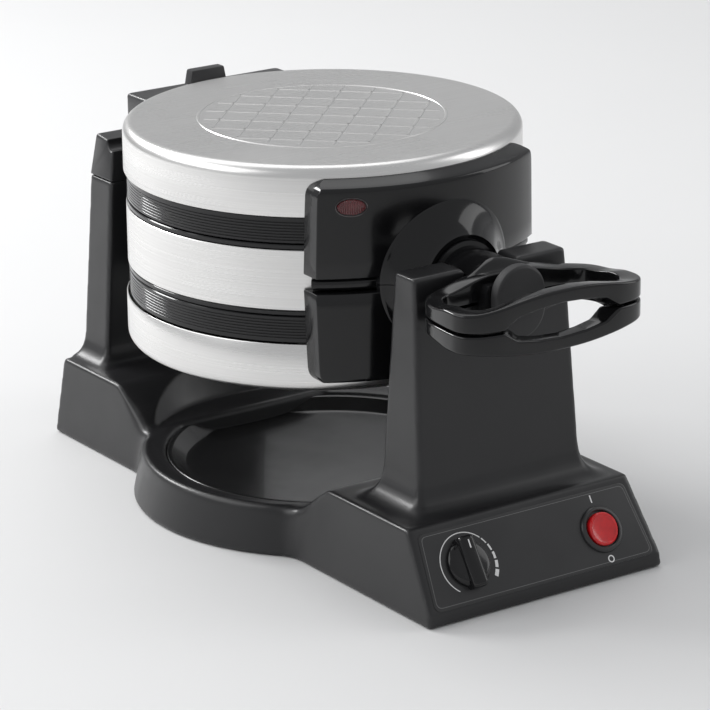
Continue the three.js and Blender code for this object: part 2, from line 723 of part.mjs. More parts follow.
function backBarTop(x) {
  const t = Math.min(Math.max(Math.abs(x) - 10, 0) / 32, 1);
  return LOOP_TOP + BACK_RISE * (0.5 + 0.5 * Math.cos(Math.PI * t));
}

const LOOP_OUTSIDE = [
  [0, HANDLE_BACK_Y],
  [20, -146],
  [36, -146.9],
  [45.6, -148.9],
  [51.2, -153.4],
  [53.8, -161],
  [54.6, -171],
  [54.5, -178],
  [53.6, -185],
  [51, -190.8],
  [45.6, -195],
  [37, -197.2],
  [26, -197.9],
  [0, -198],
];

const LOOP_INSIDE = [
  [0, -154.6],
  [30, -155.2],
  [39.6, -156.8],
  [43.8, -161.4],
  [45.2, -170],
  [44.9, -179.6],
  [41.8, -186.2],
  [34, -189.4],
  [0, -190.4],
];

function makeHandle() {
  const plan = prismZ(symmetricOutline(LOOP_OUTSIDE, 44), 0, 20);
  const opening = prismZ(symmetricOutline(LOOP_INSIDE, 32), -5, 25);
  const frontHeight = prismY(loopProfile(frontBarTop), -200, -172);
  const heights = frontHeight.add(prismY(loopProfile(backBarTop), -172, -140));
  const gapOutline = [[-33.6, 0], [33.6, 0], [26, 5.5], [14, 7.4], [0, 8.2], [-14, 7.4], [-26, 5.5]];
  const fingerGap = prismY(gapOutline, -200, -186);
  const loop = plan.subtract(opening).intersect(heights).subtract(fingerGap);
  const collar = turnedAlongY([[0, -121.4], [NECK_R, -121.4], [19.3, -120.9], [19.3, -119.9], [18.4, -119.6],
    [0, -119.6]]);
  const arm = join(neck(-149, -121), collar).intersect(bandBetween(NECK_SPLIT + 0.15, 30));
  const axleSpace = neck(-170, -100, 0.4).intersect(bandBetween(-20, NECK_SPLIT + 0.15));
  const handle = join(loop.subtract(axleSpace), arm).subtract(cylinderY(0, 13, 2.2, -134, -110, 12));
  return handle;
}

function makeHandleScrew() {
  return cylinderY(0, 13, 1.9, -133, -103, 12).add(cylinderY(0, 13, 3.5, -104.2, -100.9, 16));
}

const REAR_BRACKET_HALF = 46.5;
const REAR_BRACKET_BACK = 112.5;
const REAR_BRACKET_TOP = 52;

function makeRearBracket() {
  const plate = box(-REAR_BRACKET_HALF, REAR_BRACKET_HALF, 86, REAR_BRACKET_BACK, 37.3, REAR_BRACKET_TOP);
  const web = box(-30, 30, 86, REAR_BRACKET_BACK, HINGE_Z, 38);
  const barrel = cylinderX(HINGE_Y, HINGE_Z, 9.1, -30, 30, 28);
  const stop = hull([[-10, 106, 51], [10, 106, 51], [-10, 112, 51], [10, 112, 51],
    [-8.5, 106, 59.4], [8.5, 106, 59.4], [-8.5, 112, 59.4], [8.5, 112, 59.4]]);
  const coverSpace = turned([[0, RING_TOP], [BRACKET_IN, RING_TOP], [BRACKET_IN, 70], [0, 70]], 60);
  const ringSpace = turned([[0, 0], [RING_R + 0.4, 0], [RING_R + 0.4, 35], [0, 35]], 60);
  const pin = cylinderX(HINGE_Y, HINGE_Z, 2.3, -60, 60, 16);
  return join(plate, web, barrel, stop).subtract(join(coverSpace, ringSpace, pin));
}

function addLid(side, place) {
  const coil = new THREE.TorusGeometry(55, 3.5, 5, 20).translate(0, 0, 34.5);
  const pieces = {
    cover: [makeCover(), STEEL],
    ring: [makeRing(), GLOSS_BLACK],
    waffle_plate: [makeLidPlate(), PLATE_COAT],
    heating_element: [solid(coil), BARE_METAL],
    front_bracket: [makeFrontBracket(side === 'upper'), GLOSS_BLACK],
    handle: [makeHandle(), GLOSS_BLACK],
    handle_screw: [makeHandleScrew(), BARE_METAL],
    rear_bracket: [makeRearBracket(), SATIN_BLACK],
  };
  for (const [name, [body, material]] of Object.entries(pieces)) {
    add(unit, `${side}_${name}`, place(body), material);
  }
}

addLid('upper', (body) => body);
addLid('lower', mirrored);

const bezelPost = ovalPost(0.9, 105, BRACKET_OUT + 0.5);
add(unit, 'indicator_bezel', bezelPost.subtract(ovalPost(0.1, 100, 115)), BARE_METAL);
add(unit, 'indicator_lens', ovalPost(-0.2, 105, BRACKET_OUT + 0.9), DARK_RED);

export default model;
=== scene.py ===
"""Looks of the flip-over double waffle maker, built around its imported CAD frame."""
import math

import bmesh
import bpy
import numpy as np
from mathutils import Matrix, Vector


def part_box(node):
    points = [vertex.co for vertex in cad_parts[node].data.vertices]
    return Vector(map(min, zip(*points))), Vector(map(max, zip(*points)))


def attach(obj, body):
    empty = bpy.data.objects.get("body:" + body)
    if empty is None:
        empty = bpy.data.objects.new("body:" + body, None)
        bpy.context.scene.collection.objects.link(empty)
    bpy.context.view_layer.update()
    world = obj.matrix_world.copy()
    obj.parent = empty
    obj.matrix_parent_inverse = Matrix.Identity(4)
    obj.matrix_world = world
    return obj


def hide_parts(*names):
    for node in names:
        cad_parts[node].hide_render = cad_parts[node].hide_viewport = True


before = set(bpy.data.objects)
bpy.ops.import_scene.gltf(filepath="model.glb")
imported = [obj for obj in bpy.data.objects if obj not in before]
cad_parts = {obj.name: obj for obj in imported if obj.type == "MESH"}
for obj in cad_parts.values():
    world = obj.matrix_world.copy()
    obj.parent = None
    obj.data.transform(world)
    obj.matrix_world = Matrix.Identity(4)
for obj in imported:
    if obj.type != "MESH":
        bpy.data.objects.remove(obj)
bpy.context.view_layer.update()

MM = 0.001

# The round unit's middle, from the frame: every local size below is in millimetres from here,
# with heights of the unit counted from the flip axis and heights of the base from the table.
band_low, band_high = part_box("middle_band")
UNIT_Y = (band_low.y + band_high.y) / 2 / MM
AXIS_Z = (band_low.z + band_high.z) / 2 / MM
COVER_R = (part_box("upper_cover")[1].x) / MM
COVER_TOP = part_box("upper_cover")[1].z / MM - AXIS_Z
COVER_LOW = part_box("upper_cover")[0].z / MM - AXIS_Z
RING_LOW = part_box("upper_ring")[0].z / MM - AXIS_Z
RING_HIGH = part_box("upper_ring")[1].z / MM - AXIS_Z
RING_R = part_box("upper_ring")[1].x / MM
BAND_R = band_high.x / MM
BAND_HALF = (band_high.z - band_low.z) / 2 / MM
RIM_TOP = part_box("middle_rim_upper")[1].z / MM - AXIS_Z
HINGE_Y = (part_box("upper_hinge_pin")[0].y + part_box("upper_hinge_pin")[1].y) / 2 / MM - UNIT_Y
HINGE_Z = (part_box("upper_hinge_pin")[0].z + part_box("upper_hinge_pin")[1].z) / 2 / MM - AXIS_Z
BLOCK_TOP = 42.0
BASE_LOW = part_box("base_housing")[0].z / MM
FRONT_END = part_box("base_housing")[0].y / MM - UNIT_Y
REAR_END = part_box("base_housing")[1].y / MM - UNIT_Y
NECK_R = 17.2
NECK_SPLIT = 9.3
SLIT = 0.7


# ------------------------------------------------------------------ mesh helpers

def place(point, level=0.0):
    """Millimetres from the unit's axis to metres in the frame."""
    x, y, z = point
    return (x * MM, (y + UNIT_Y) * MM, (z + level) * MM)


def link(name, shape, body, material, replaced=(), sharp=34):
    """A finished piece: closed mesh, smooth shading with sharp creases, riding on its body.

    Heights of the unit's pieces are counted from the flip axis, all others from the table.
    """
    verts, faces = shape
    level = AXIS_Z if body in ("cooking_unit", "upper_lid") else 0.0
    mesh = bpy.data.meshes.new(name)
    mesh.from_pydata([place(v, level) for v in verts], [], faces)
    piece = bpy.data.objects.new(name, mesh)
    bpy.context.scene.collection.objects.link(piece)
    tidy(mesh, sharp)
    mesh.materials.append(material)
    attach(piece, body)
    if replaced:
        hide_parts(*replaced)
    return piece


def tidy(mesh, sharp):
    bm = bmesh.new()
    bm.from_mesh(mesh)
    bmesh.ops.remove_doubles(bm, verts=bm.verts, dist=2e-6)
    bmesh.ops.recalc_face_normals(bm, faces=bm.faces)
    limit = math.radians(sharp)
    for face in bm.faces:
        face.smooth = True
    for edge in bm.edges:
        edge.smooth = len(edge.link_faces) != 2 or edge.calc_face_angle(0) < limit
    bm.to_mesh(mesh)
    bm.free()


def grid_faces(rows, columns, closed_rows=False):
    """Quads between successive closed loops of points."""
    faces = []
    for i in range(rows if closed_rows else rows - 1):
        for j in range(columns):
            a = i * columns + j
            b = i * columns + (j + 1) % columns
            c = ((i + 1) % rows) * columns + (j + 1) % columns
            d = ((i + 1) % rows) * columns + j
            faces.append((a, b, c, d))
    return faces


def loft(sections):
    """A skin over closed sections that all have the same number of points."""
    count = len(sections[0])
    verts = [point for section in sections for point in section]
    faces = grid_faces(len(sections), count)
    faces.append(tuple(range(count)))
    faces.append(tuple((len(sections) - 1) * count + j for j in range(count)))
    return verts, faces


def hoop(sections):
    """A skin over closed sections that run round and meet again."""
    verts = [point for section in sections for point in section]
    return verts, grid_faces(len(sections), len(sections[0]), closed_rows=True)


def joined(shapes):
    """Several separate shapes as one."""
    verts, faces = [], []
    for more_verts, more_faces in shapes:
        faces += [tuple(len(verts) + v for v in face) for face in more_faces]
        verts += more_verts
    return verts, faces


def lathe(profile, segments=160, axis="Z"):
    """A closed profile of (radius, height) turned about the Z or the Y axis."""
    verts = []
    for k in range(segments):
        angle = 2 * math.pi * k / segments
        c, s = math.cos(angle), math.sin(angle)
        for radius, height in profile:
            if axis == "Z":
                verts.append((radius * c, radius * s, height))
            else:
                verts.append((radius * c, height, radius * s))
    return verts, grid_faces(segments, len(profile), closed_rows=True)


def fillet(corners, steps=5, keep=False):
    """A closed outline of (u, v, radius) corners, rounded; keep leaves plain points single."""
    outline = []
    count = len(corners)
    for i, (u, v, radius) in enumerate(corners):
        here = Vector((u, v))
        before = Vector(corners[i - 1][:2]) - here
        after = Vector(corners[(i + 1) % count][:2]) - here
        if radius <= 0:
            outline.extend([(u, v)] * (1 if keep else steps + 1))
            continue
        angle = before.angle(after)
        reach = min(radius / math.tan(angle / 2), 0.49 * before.length, 0.49 * after.length)
        start = here + before.normalized() * reach
        end = here + after.normalized() * reach
        for k in range(steps + 1):
            t = k / steps
            outline.append(tuple((1 - t) ** 2 * start + 2 * t * (1 - t) * here + t * t * end))
    return outline


def rounded_rect(x, y0, y1, radius, steps=6):
    """A plan outline, anticlockwise, with round corners."""
    points = []
    for cx, cy, first in ((x, y1, 0), (-x, y1, 90), (-x, y0, 180), (x, y0, 270)):
        ox = cx - math.copysign(radius, cx)
        oy = cy - radius if cy == y1 else cy + radius
        for k in range(steps + 1):
            a = math.radians(first + 90 * k / steps)
            points.append((ox + radius * math.cos(a), oy + radius * math.sin(a)))
    return points


def spline(points, count):
    """A closed smooth curve through the points, resampled evenly."""
    n = len(points)
    fine = []
    for i in range(n):
        p0, p1, p2, p3 = (Vector(points[(i + k - 1) % n]) for k in range(4))
        for k in range(24):
            t = k / 24
            fine.append(0.5 * ((2 * p1) + (p2 - p0) * t + (2 * p0 - 5 * p1 + 4 * p2 - p3) * t * t
                               + (3 * p1 - p0 - 3 * p2 + p3) * t ** 3))
    lengths = [0.0]
    for a, b in zip(fine, fine[1:] + fine[:1]):
        lengths.append(lengths[-1] + (b - a).length)
    result = []
    j = 0
    for i in range(count):
        target = lengths[-1] * i / count
        while lengths[j + 1] < target:
            j += 1
        t = (target - lengths[j]) / (lengths[j + 1] - lengths[j])
        result.append(tuple(fine[j].lerp(fine[(j + 1) % len(fine)], t)))
    return result


def smoothstep(t):
    t = min(max(t, 0.0), 1.0)
    return t * t * (3 - 2 * t)


def between(table, at):
    """Linear steps through (position, value) pairs."""
    for (a, va), (b, vb) in zip(table, table[1:]):
        if at <= b:
            return va + (vb - va) * max(at - a, 0) / (b - a)
    return table[-1][1]


# ------------------------------------------------------------------ materials

class Finish:
    """A Principled material and the few kinds of node that the finishes here are made of."""

    def __init__(self, name):
        self.material = bpy.data.materials.new(name)
        self.material.use_nodes = True
        self.tree = self.material.node_tree
        self.shader = self.tree.nodes["Principled BSDF"]

    def fill(self, node, inputs):
        """Sets or links the named inputs of a node."""
        for socket, value in inputs.items():
            if isinstance(value, bpy.types.NodeSocket):
                self.tree.links.new(value, node.inputs[socket])
            else:
                node.inputs[socket].default_value = value

    def add(self, kind, inputs, **properties):
        node = self.tree.nodes.new("ShaderNode" + kind)
        for key, value in properties.items():
            setattr(node, key, value)
        self.fill(node, inputs)
        return node

    def coordinates(self, scale=(1, 1, 1)):
        source = self.add("TexCoord", {}).outputs["Object"]
        return self.add("Mapping", {"Scale": scale, "Vector": source}).outputs["Vector"]

    def noise(self, vector, scale, detail):
        return self.add("TexNoise",
                        {"Scale": scale, "Detail": detail, "Vector": vector}).outputs["Fac"]

    def ramp(self, value, low, high, start=0.3, end=0.7):
        return self.add("MapRange", {"From Min": start, "From Max": end, "To Min": low,
                                     "To Max": high, "Value": value}).outputs["Result"]

    def colour(self, factor, first, second):
        mix = self.add("Mix", {"A": (*first, 1), "B": (*second, 1), "Factor": factor},
                       data_type="RGBA")
        self.fill(self.shader, {"Base Color": mix.outputs["Result"]})

    def bump(self, height, strength, distance):
        node = self.add("Bump", {"Strength": strength, "Distance": distance, "Height": height})
        self.fill(self.shader, {"Normal": node.outputs["Normal"]})


def moulded(name, colour, edge_highlight, roughness, spread, grain, coat=0.0, ior=1.5):
    """Moulded plastic: fine grain, uneven gloss, and a painted highlight that makes the edges a
    little lighter.
    """
    finish = Finish(name)
    plain = finish.coordinates()
    # Painted highlight: convex edges, found by pointiness, get the lighter second colour in place
    # of the bright reflections along them.
    pointiness = finish.add("NewGeometry", {}).outputs["Pointiness"]
    finish.colour(finish.ramp(pointiness, 0.0, 1.0, 0.51, 0.60), colour, edge_highlight)
    cloudy = finish.ramp(finish.noise(plain, 45, 4), roughness - spread, roughness + spread)
    finish.bump(finish.noise(plain, 2600, 2), grain, 0.00006)
    finish.fill(finish.shader, {"Roughness": cloudy, "Coat Weight": coat, "Coat Roughness": 0.04,
                                "IOR": ior})
    return finish.material


def brushed(name, colour, tone, roughness):
    """Brushed steel: marks run round the side walls and straight across a flat top."""
    finish = Finish(name)
    round_marks = finish.noise(finish.coordinates((6, 6, 2400)), 1, 3)
    across_marks = finish.noise(finish.coordinates((9, 2100, 9)), 1, 3)
    normal = finish.add("NewGeometry", {}).outputs["Normal"]
    upright = finish.add("Math", {0: finish.add("SeparateXYZ", {"Vector": normal}).outputs["Z"]},
                         operation="ABSOLUTE").outputs[0]
    marks = finish.add("Mix", {"Factor": finish.ramp(upright, 0, 1, 0.6, 0.9), "A": round_marks,
                               "B": across_marks}).outputs["Result"]
    smudges = finish.noise(finish.coordinates(), 14, 5)
    finish.colour(finish.ramp(marks, 0, 1), colour, tone)
    rough = finish.add("Math", {0: finish.ramp(marks, roughness - 0.03, roughness + 0.03),
                                1: finish.ramp(smudges, -0.02, 0.03)}, operation="ADD").outputs[0]
    finish.bump(marks, 0.09, 0.00004)
    finish.fill(finish.shader, {"Roughness": rough, "Metallic": 1.0})
    return finish.material


def translucent(name, colour, deep, roughness, ribs=None):
    """Coloured translucent plastic, lighter where it is thin, with moulded ribs on a lens."""
    finish = Finish(name)
    mottled = finish.noise(finish.coordinates(), 160, 3)
    finish.colour(finish.ramp(mottled, 0, 1), colour, deep)
    finish.fill(finish.shader, {"Roughness": finish.ramp(mottled, roughness, roughness + 0.06),
                                "Subsurface Weight": 0.35,
                                "Subsurface Radius": (0.004, 0.0006, 0.0006),
                                "Subsurface Scale": 1.0, "Coat Weight": 0.5,
                                "Coat Roughness": 0.05})
    if ribs:
        wave = finish.add("TexWave", {"Scale": ribs, "Vector": finish.coordinates((1, 0.2, 0.2))})
        finish.bump(wave.outputs["Fac"], 0.8, 0.0005)
    return finish.material


# The second colour of each moulded finish is a painted edge highlight, lighter than the plastic's
# own colour.
SATIN = moulded("satin_black", (0.0125, 0.0125, 0.0135), (0.03, 0.03, 0.032), 0.33, 0.05, 0.25)
GLOSS = moulded("gloss_black", (0.0045, 0.0045, 0.005), (0.012, 0.012, 0.013), 0.13, 0.03, 0.03,
                0.15, 1.4)
MATTE = moulded("matte_black", (0.02, 0.02, 0.021), (0.032, 0.032, 0.034), 0.55, 0.06, 0.5)
PANEL = moulded("panel_black", (0.024, 0.024, 0.025), (0.034, 0.034, 0.034), 0.32, 0.04, 0.15)
TRAY = moulded("tray_black", (0.005, 0.005, 0.0055), (0.02, 0.02, 0.02), 0.22, 0.04, 0.05, 0.15)
RUBBER = moulded("rubber", (0.012, 0.012, 0.012), (0.02, 0.02, 0.02), 0.75, 0.06, 0.8)
BUSH = moulded("bush_plastic", (0.03, 0.03, 0.032), (0.05, 0.05, 0.05), 0.45, 0.05, 0.3)
# Painted highlight: the light grey of the fine lip round the panel label stands in for the glint
# off that lip.
BORDER_HIGHLIGHT = moulded("border_painted_highlight", (0.12, 0.12, 0.12), (0.15, 0.15, 0.15), 0.4, 0.05, 0.1)
INK = moulded("white_print", (0.75, 0.75, 0.74), (0.8, 0.8, 0.8), 0.5, 0.05, 0.1)
STEEL = brushed("brushed_steel", (0.78, 0.775, 0.765), (0.72, 0.715, 0.705), 0.29)
COATED = brushed("coated_plate", (0.055, 0.055, 0.058), (0.08, 0.08, 0.082), 0.45)
BARE = brushed("bare_metal", (0.5, 0.5, 0.5), (0.42, 0.42, 0.42), 0.35)
SHEATH = brushed("heater_sheath", (0.2, 0.19, 0.18), (0.26, 0.25, 0.24), 0.45)
DARK_TRIM = brushed("dark_trim", (0.16, 0.15, 0.15), (0.12, 0.11, 0.11), 0.2)
RED = translucent("red_rocker", (0.70, 0.010, 0.013), (0.52, 0.005, 0.009), 0.16)
DARK_RED = translucent("dark_red_lens", (0.12, 0.004, 0.008), (0.07, 0.002, 0.004), 0.12, 420)


# ------------------------------------------------------------------ round housing

def arc_points(cu, cv, radius, first, last, steps):
    points = []
    for k in range(steps + 1):
        a = math.radians(first + (last - first) * k / steps)
        points.append((cu + radius * math.cos(a), cv + radius * math.sin(a)))
    return points


def lid_side(points, side):
    return [(r, side * h) for r, h in points]


RIDGE = 0.3


def make_cover(name, side):
    """A drawn steel shell; its flat top lies one ridge height below the pressed roundel."""
    fillet_r = 5.7
    flat = COVER_TOP - RIDGE
    centre = COVER_R - fillet_r
    profile = [(COVER_R - 0.9, COVER_LOW + 0.3), (COVER_R - 0.6, COVER_LOW),
               (COVER_R - 0.25, COVER_LOW + 0.1)]
    profile += [(COVER_R, COVER_LOW + 0.5), (COVER_R, flat - fillet_r - 6)]
    profile += arc_points(centre, flat - fillet_r, fillet_r, 0, 90, 10)
    profile += [(60, flat), (20, flat), (0.01, flat), (0.01, flat - 0.9)]
    profile += arc_points(centre, flat - fillet_r, fillet_r - 0.9, 90, 0, 6)
    body = "upper_lid" if side > 0 else "cooking_unit"
    link(f"{name}_cover_shell", lathe(lid_side(profile, side), 192), body, STEEL, [f"{name}_cover"])
    make_roundel(name, side, body)


def make_roundel(name, side, body):
    """A generic pressed roundel on a cover: a ring round a diagonal waffle grid."""
    low, high = COVER_TOP - RIDGE - 0.3, COVER_TOP
    ring = [(60.9, low), (61.5, high), (62.5, high), (63.1, low)]
    link(f"{name}_roundel_ring", lathe(lid_side(ring, side), 160), body, STEEL)
    bars = []
    for slant in (45, -45):
        along = Vector((math.cos(math.radians(slant)), math.sin(math.radians(slant))))
        across = Vector((-along.y, along.x))
        for k in range(-3, 4):
            offset = 16.3 * k
            reach = math.sqrt(59.0 ** 2 - offset ** 2)
            sections = []
            for end in (-reach, reach):
                section = []
                for width, height in ((-1.0, low), (-0.45, high), (0.45, high), (1.0, low)):
                    point = along * (end + math.copysign(0.4 if height == low else 0, end))
                    point += across * (offset + width)
                    section.append((point.x, point.y, side * height))
                sections.append(section)
            bars.append(loft(sections))
    link(f"{name}_roundel_grid", joined(bars), body, STEEL)


def make_lid_ring(name, side):
    """The black ring under a cover, with fine grooves round it."""
    profile = [(89.6, RING_LOW + 0.3), (89.9, RING_LOW), (RING_R - 0.5, RING_LOW),
               (RING_R, RING_LOW + 0.5)]
    groove = RING_LOW + 1.6
    while groove < RING_HIGH - 1.6:
        profile += [(RING_R, groove), (RING_R - 0.28, groove + 0.2), (RING_R - 0.28, groove + 0.45),
                    (RING_R, groove + 0.65)]
        groove += 1.45
    profile += [(RING_R, RING_HIGH - 0.4), (RING_R - 0.4, RING_HIGH), (84, RING_HIGH), (84, 30.9),
                (89.6, 30.9)]
    body = "upper_lid" if side > 0 else "cooking_unit"
    link(f"{name}_ring_grooved", lathe(lid_side(profile, side), 160), body, GLOSS, [f"{name}_ring"])


def make_middle():
    w = 0.8
    half = BAND_HALF
    profile = [(BAND_R - w, -half), (BAND_R - 0.3, -half), (BAND_R, -half + 0.3),
               (BAND_R, half - 0.3), (BAND_R - 0.3, half), (BAND_R - w, half)]
    link("middle_band_brushed", lathe(profile, 192), "cooking_unit", STEEL, ["middle_band"])
    for side, name in ((1, "upper"), (-1, "lower")):
        rim = [(88, 13.9), (97.8, 13.9), (97.8, half + 0.3), (98.3, half + 0.3), (98.7, half + 0.7),
               (98.7, RIM_TOP - 0.4), (98.3, RIM_TOP), (88.4, RIM_TOP), (88, RIM_TOP - 0.4)]
        link(f"middle_rim_{name}_round", lathe(lid_side(rim, side), 160), "cooking_unit", GLOSS,
             [f"middle_rim_{name}"])


def make_plate(name, node, body, base, face, tip):
    """A die-cast grid plate: a disc with rounded square pegs; heights are signed."""
    thick = 2.4 * (1 if base > face else -1)
    verts, faces = lathe([(0.01, face), (86.5, face),
                          (87.5, face + 0.5 * (tip - face) / abs(tip - face)), (88.6, face),
                          (88.9, face + thick), (0.01, face + thick)], 128)
    pitch = 14.5
    reach = 5
    for i in range(-reach, reach + 1):
        for j in range(-reach, reach + 1):
            x, y = i * pitch, j * pitch
            if math.hypot(x, y) > 78:
                continue
            start = len(verts)
            for half, height, corner in ((4.9, face, 1.4), (4.4, tip + (face - tip) * 0.12, 1.2),
                                         (4.0, tip, 1.0)):
                for px, py in rounded_rect(half, y - half, y + half, corner, 2):
                    verts.append((px + x, py, height))
            ring = 12
            for k in range(2):
                for m in range(ring):
                    a = start + k * ring + m
                    b = start + k * ring + (m + 1) % ring
                    faces.append((a, b, b + ring, a + ring))
            faces.append(tuple(start + 2 * ring + m for m in range(ring)))
            faces.append(tuple(start + m for m in reversed(range(ring))))
    link(f"{name}_grid", (verts, faces), body, COATED, [node])


def make_housing():
    make_cover("upper", 1)
    make_cover("lower", -1)
    for name, side in (("upper", 1), ("lower", -1)):
        make_lid_ring(name, side)
    make_middle()
    make_plate("upper_waffle_plate", "upper_waffle_plate", "upper_lid", 30.6, 28, 23)
    make_plate("lower_waffle_plate", "lower_waffle_plate", "cooking_unit", -30.6, -28, -23)
    make_plate("middle_plate_upper", "middle_plate_upper", "cooking_unit", 11, 13.6, 17.4)
    make_plate("middle_plate_lower", "middle_plate_lower", "cooking_unit", -11, -13.6, -17.4)


# ------------------------------------------------------------------ front brackets

BRACKET_IN = 100.4
BRACKET_OUT = 109.5
BELL_R = 37.3
BELL_THROAT = 22.0
BELL_FRONT = -119.3
BRACKET_LEVELS = [
    # height above the flip axis, half width, outer radius
    (3.7, 63.7, 108.9), (3.85, 64.05, 109.25), (4.2, 64.3, 109.5), (12, 64.1, 109.5),
                  (24, 63.8, 109.5),
    (34, 63.6, 109.5), (40, 63.4, 109.5), (43, 63.3, 109.5), (44.6, 63.1, 109.5),
                  (46.1, 62.7, 109.5),
    (47.3, 62.05, 109.35), (47.9, 61.6, 109.0), (48.3, 61.2, 108.3), (49.0, 60.3, 106.2),
                  (49.8, 58.9, 104.0),
    (50.5, 57.3, 101.9), (50.9, 56.0, 100.9), (51.0, 55.3, 100.7)]


def bracket_section(half, outer):
    """Plan outline of the curved bracket at one height: its face, its two ends and its back."""
    steps = 28
    inner = BRACKET_IN
    limit = math.asin(half / outer)
    face = [(outer * math.sin(limit * (2 * k / steps - 1)),
             -outer * math.cos(limit * (2 * k / steps - 1)), 0) for k in range(steps + 1)]
    limit_in = math.asin((half - 0.4) / inner)
    back = [(inner * math.sin(limit_in * (1 - 2 * k / steps)),
             -inner * math.cos(limit_in * (1 - 2 * k / steps)), 0) for k in range(steps + 1)]
    crisp = min(0.9, (outer - inner) * 0.3)
    face[0] = (*face[0][:2], crisp)
    face[-1] = (*face[-1][:2], crisp)
    return fillet(face + back, 4, keep=True)


def bell_depth(rho, x):
    """Front surface of the concave bell, from the curved bracket to the neck."""
    surface = -math.sqrt(BRACKET_OUT ** 2 - x * x)
    share = (BELL_R - rho) / (BELL_R - BELL_THROAT)
    lift = share ** 1.7
    return surface * (1 - lift) + BELL_FRONT * lift


def bell_profile(theta):
    """One radial slice of the bell, as (radius, y) pairs that close on themselves."""
    c = math.cos(theta)
    slice_points = []
    for k in range(13):
        rho = BELL_THROAT + (BELL_R - BELL_THROAT) * k / 12
        slice_points.append((rho, bell_depth(rho, rho * c) - 0.3))
    rim = -math.sqrt(BRACKET_OUT ** 2 - (BELL_R * c) ** 2)
    slice_points += [(BELL_R + 0.15, rim - 0.1), (BELL_R + 0.15, rim + 3), (17.8, rim + 3),
                     (17.8, BELL_FRONT + 0.4), (18.2, BELL_FRONT), (21.4, BELL_FRONT)]
    return slice_points


def make_front_bracket(name, side):
    body = "upper_lid" if side > 0 else "cooking_unit"
    sections = []
    for height, half, outer in BRACKET_LEVELS:
        sections.append([(x, y, side * height) for x, y in bracket_section(half, outer)])
    link(f"{name}_front_bracket_body", loft(sections), body, GLOSS, [f"{name}_front_bracket"],
         sharp=40)
    steps = 48
    sections = []
    first = math.asin(0.2 / BELL_R)
    for k in range(steps + 1):
        theta = first + (math.pi - 2 * first) * k / steps
        c, s = math.cos(theta), math.sin(theta)
        sections.append([(rho * c, y, side * rho * s) for rho, y in bell_profile(theta)])
    link(f"{name}_bell", loft(sections), body, GLOSS)


LENS_ANGLE = math.radians(-26.9)
LENS_Z = 39.3


def oval_ring(profile):
    """An oval standing out of the bracket: profile of (growth, radius from the unit's axis)."""
    count = 56
    turn = Matrix.Rotation(LENS_ANGLE, 3, "Z")
    sections = []
    for growth, radius in profile:
        section = []
        for k in range(count):
            a = 2 * math.pi * k / count
            point = turn @ Vector(((7.3 + growth) * math.cos(a), -radius,
                                   (4.2 + growth) * math.sin(a)))
            section.append((point.x, point.y, point.z + LENS_Z))
        sections.append(section)
    return sections


def make_indicator():
    bezel = [(0.6, 108), (0.6, 109.55), (0.5, 109.75), (0.3, 109.8), (0.15, 109.7), (0.1, 108.5)]
    link("indicator_bezel_trim", hoop(oval_ring(bezel)), "upper_lid", DARK_TRIM,
         ["indicator_bezel"])
    profile = [(-0.2, 106), (-0.2, 109.2), (-0.5, 109.8), (-1.4, 110.2), (-3.2, 110.35)]
    link("indicator_lens_ribbed", loft(oval_ring(profile)), "upper_lid", DARK_RED,
         ["indicator_lens"])


# ------------------------------------------------------------------ handles

LOOP_OUTSIDE = [(0, -145.5), (20, -146), (35, -147.8), (43.4, -150.4), (48.8, -156.2),
                (51.4, -163.5), (52.6, -172), (53.2, -180), (53, -186), (50.8, -191), (45.6, -195),
                (37, -197.2), (26, -197.9), (0, -198)]
LOOP_INSIDE = [(0, -154.6), (30, -155.4), (38.8, -157.4), (42.8, -162.6), (44.2, -171),
               (44.2, -179.6), (41.4, -186.2), (34, -189.4), (0, -190.4)]


def whole(right_half):
    return right_half + [(-x, y) for x, y in reversed(right_half[1:-1])]


def front_top(x):
    t = min(abs(x) / 50, 1) ** 1.25
    return 9.6 + 4.9 * (0.5 + 0.5 * math.cos(math.pi * t))


def back_top(x):
    t = min(max(abs(x) - 10, 0) / 32, 1)
    return 8 + 4.6 * (0.5 + 0.5 * math.cos(math.pi * t))


def loop_top(x, y):
    share = smoothstep((-y - 165) / 14)
    return back_top(x) * (1 - share) + front_top(x) * share


def loop_floor(x, y):
    if y > -184 or abs(x) > 33.8:
        return SLIT
    t = abs(x)
    arch = between([(0, 8.2), (14, 7.4), (26, 5.6), (33.8, SLIT)], t)
    return max(arch, SLIT)


def loop_section(inner, outer):
    """A round-cornered cross-section of the loop's bar between an inner and an outer plan point."""
    inner, outer = Vector(inner), Vector(outer)
    across = outer - inner
    width = across.length
    middle = (inner + outer) / 2
    top = loop_top(middle.x, middle.y)
    floor = loop_floor(outer.x, outer.y)
    corners = [(0, floor, 0.8), (width, floor, 1.2), (width, top, 1.6), (0, top, 1.1)]
    section = []
    for along, height in fillet(corners, 5):
        point = inner + across * (along / width)
        section.append((point.x, point.y, height))
    return section


def make_handle(name, side):
    body = "upper_lid" if side > 0 else "cooking_unit"
    outer = spline(whole(LOOP_OUTSIDE), 200)
    inner = spline(whole(LOOP_INSIDE), 200)
    sections = [[(x, y, side * z) for x, y, z in loop_section(a, b)] for a, b in zip(inner, outer)]
    link(f"{name}_handle_loop", hoop(sections), body, GLOSS, [f"{name}_handle"], sharp=50)
    sections = [[(x, y, side * z) for x, y, z in arm_section(y)] for y in arm_stations()]
    link(f"{name}_handle_arm", loft(sections), body, GLOSS)


def arm_stations():
    """Where the arm's sections stand along its length."""
    steps = [-119.6, -119.9, -120.6, -121.0, -121.5, -128, -136]
    return steps + [-141 - 0.75 * k for k in range(15)]


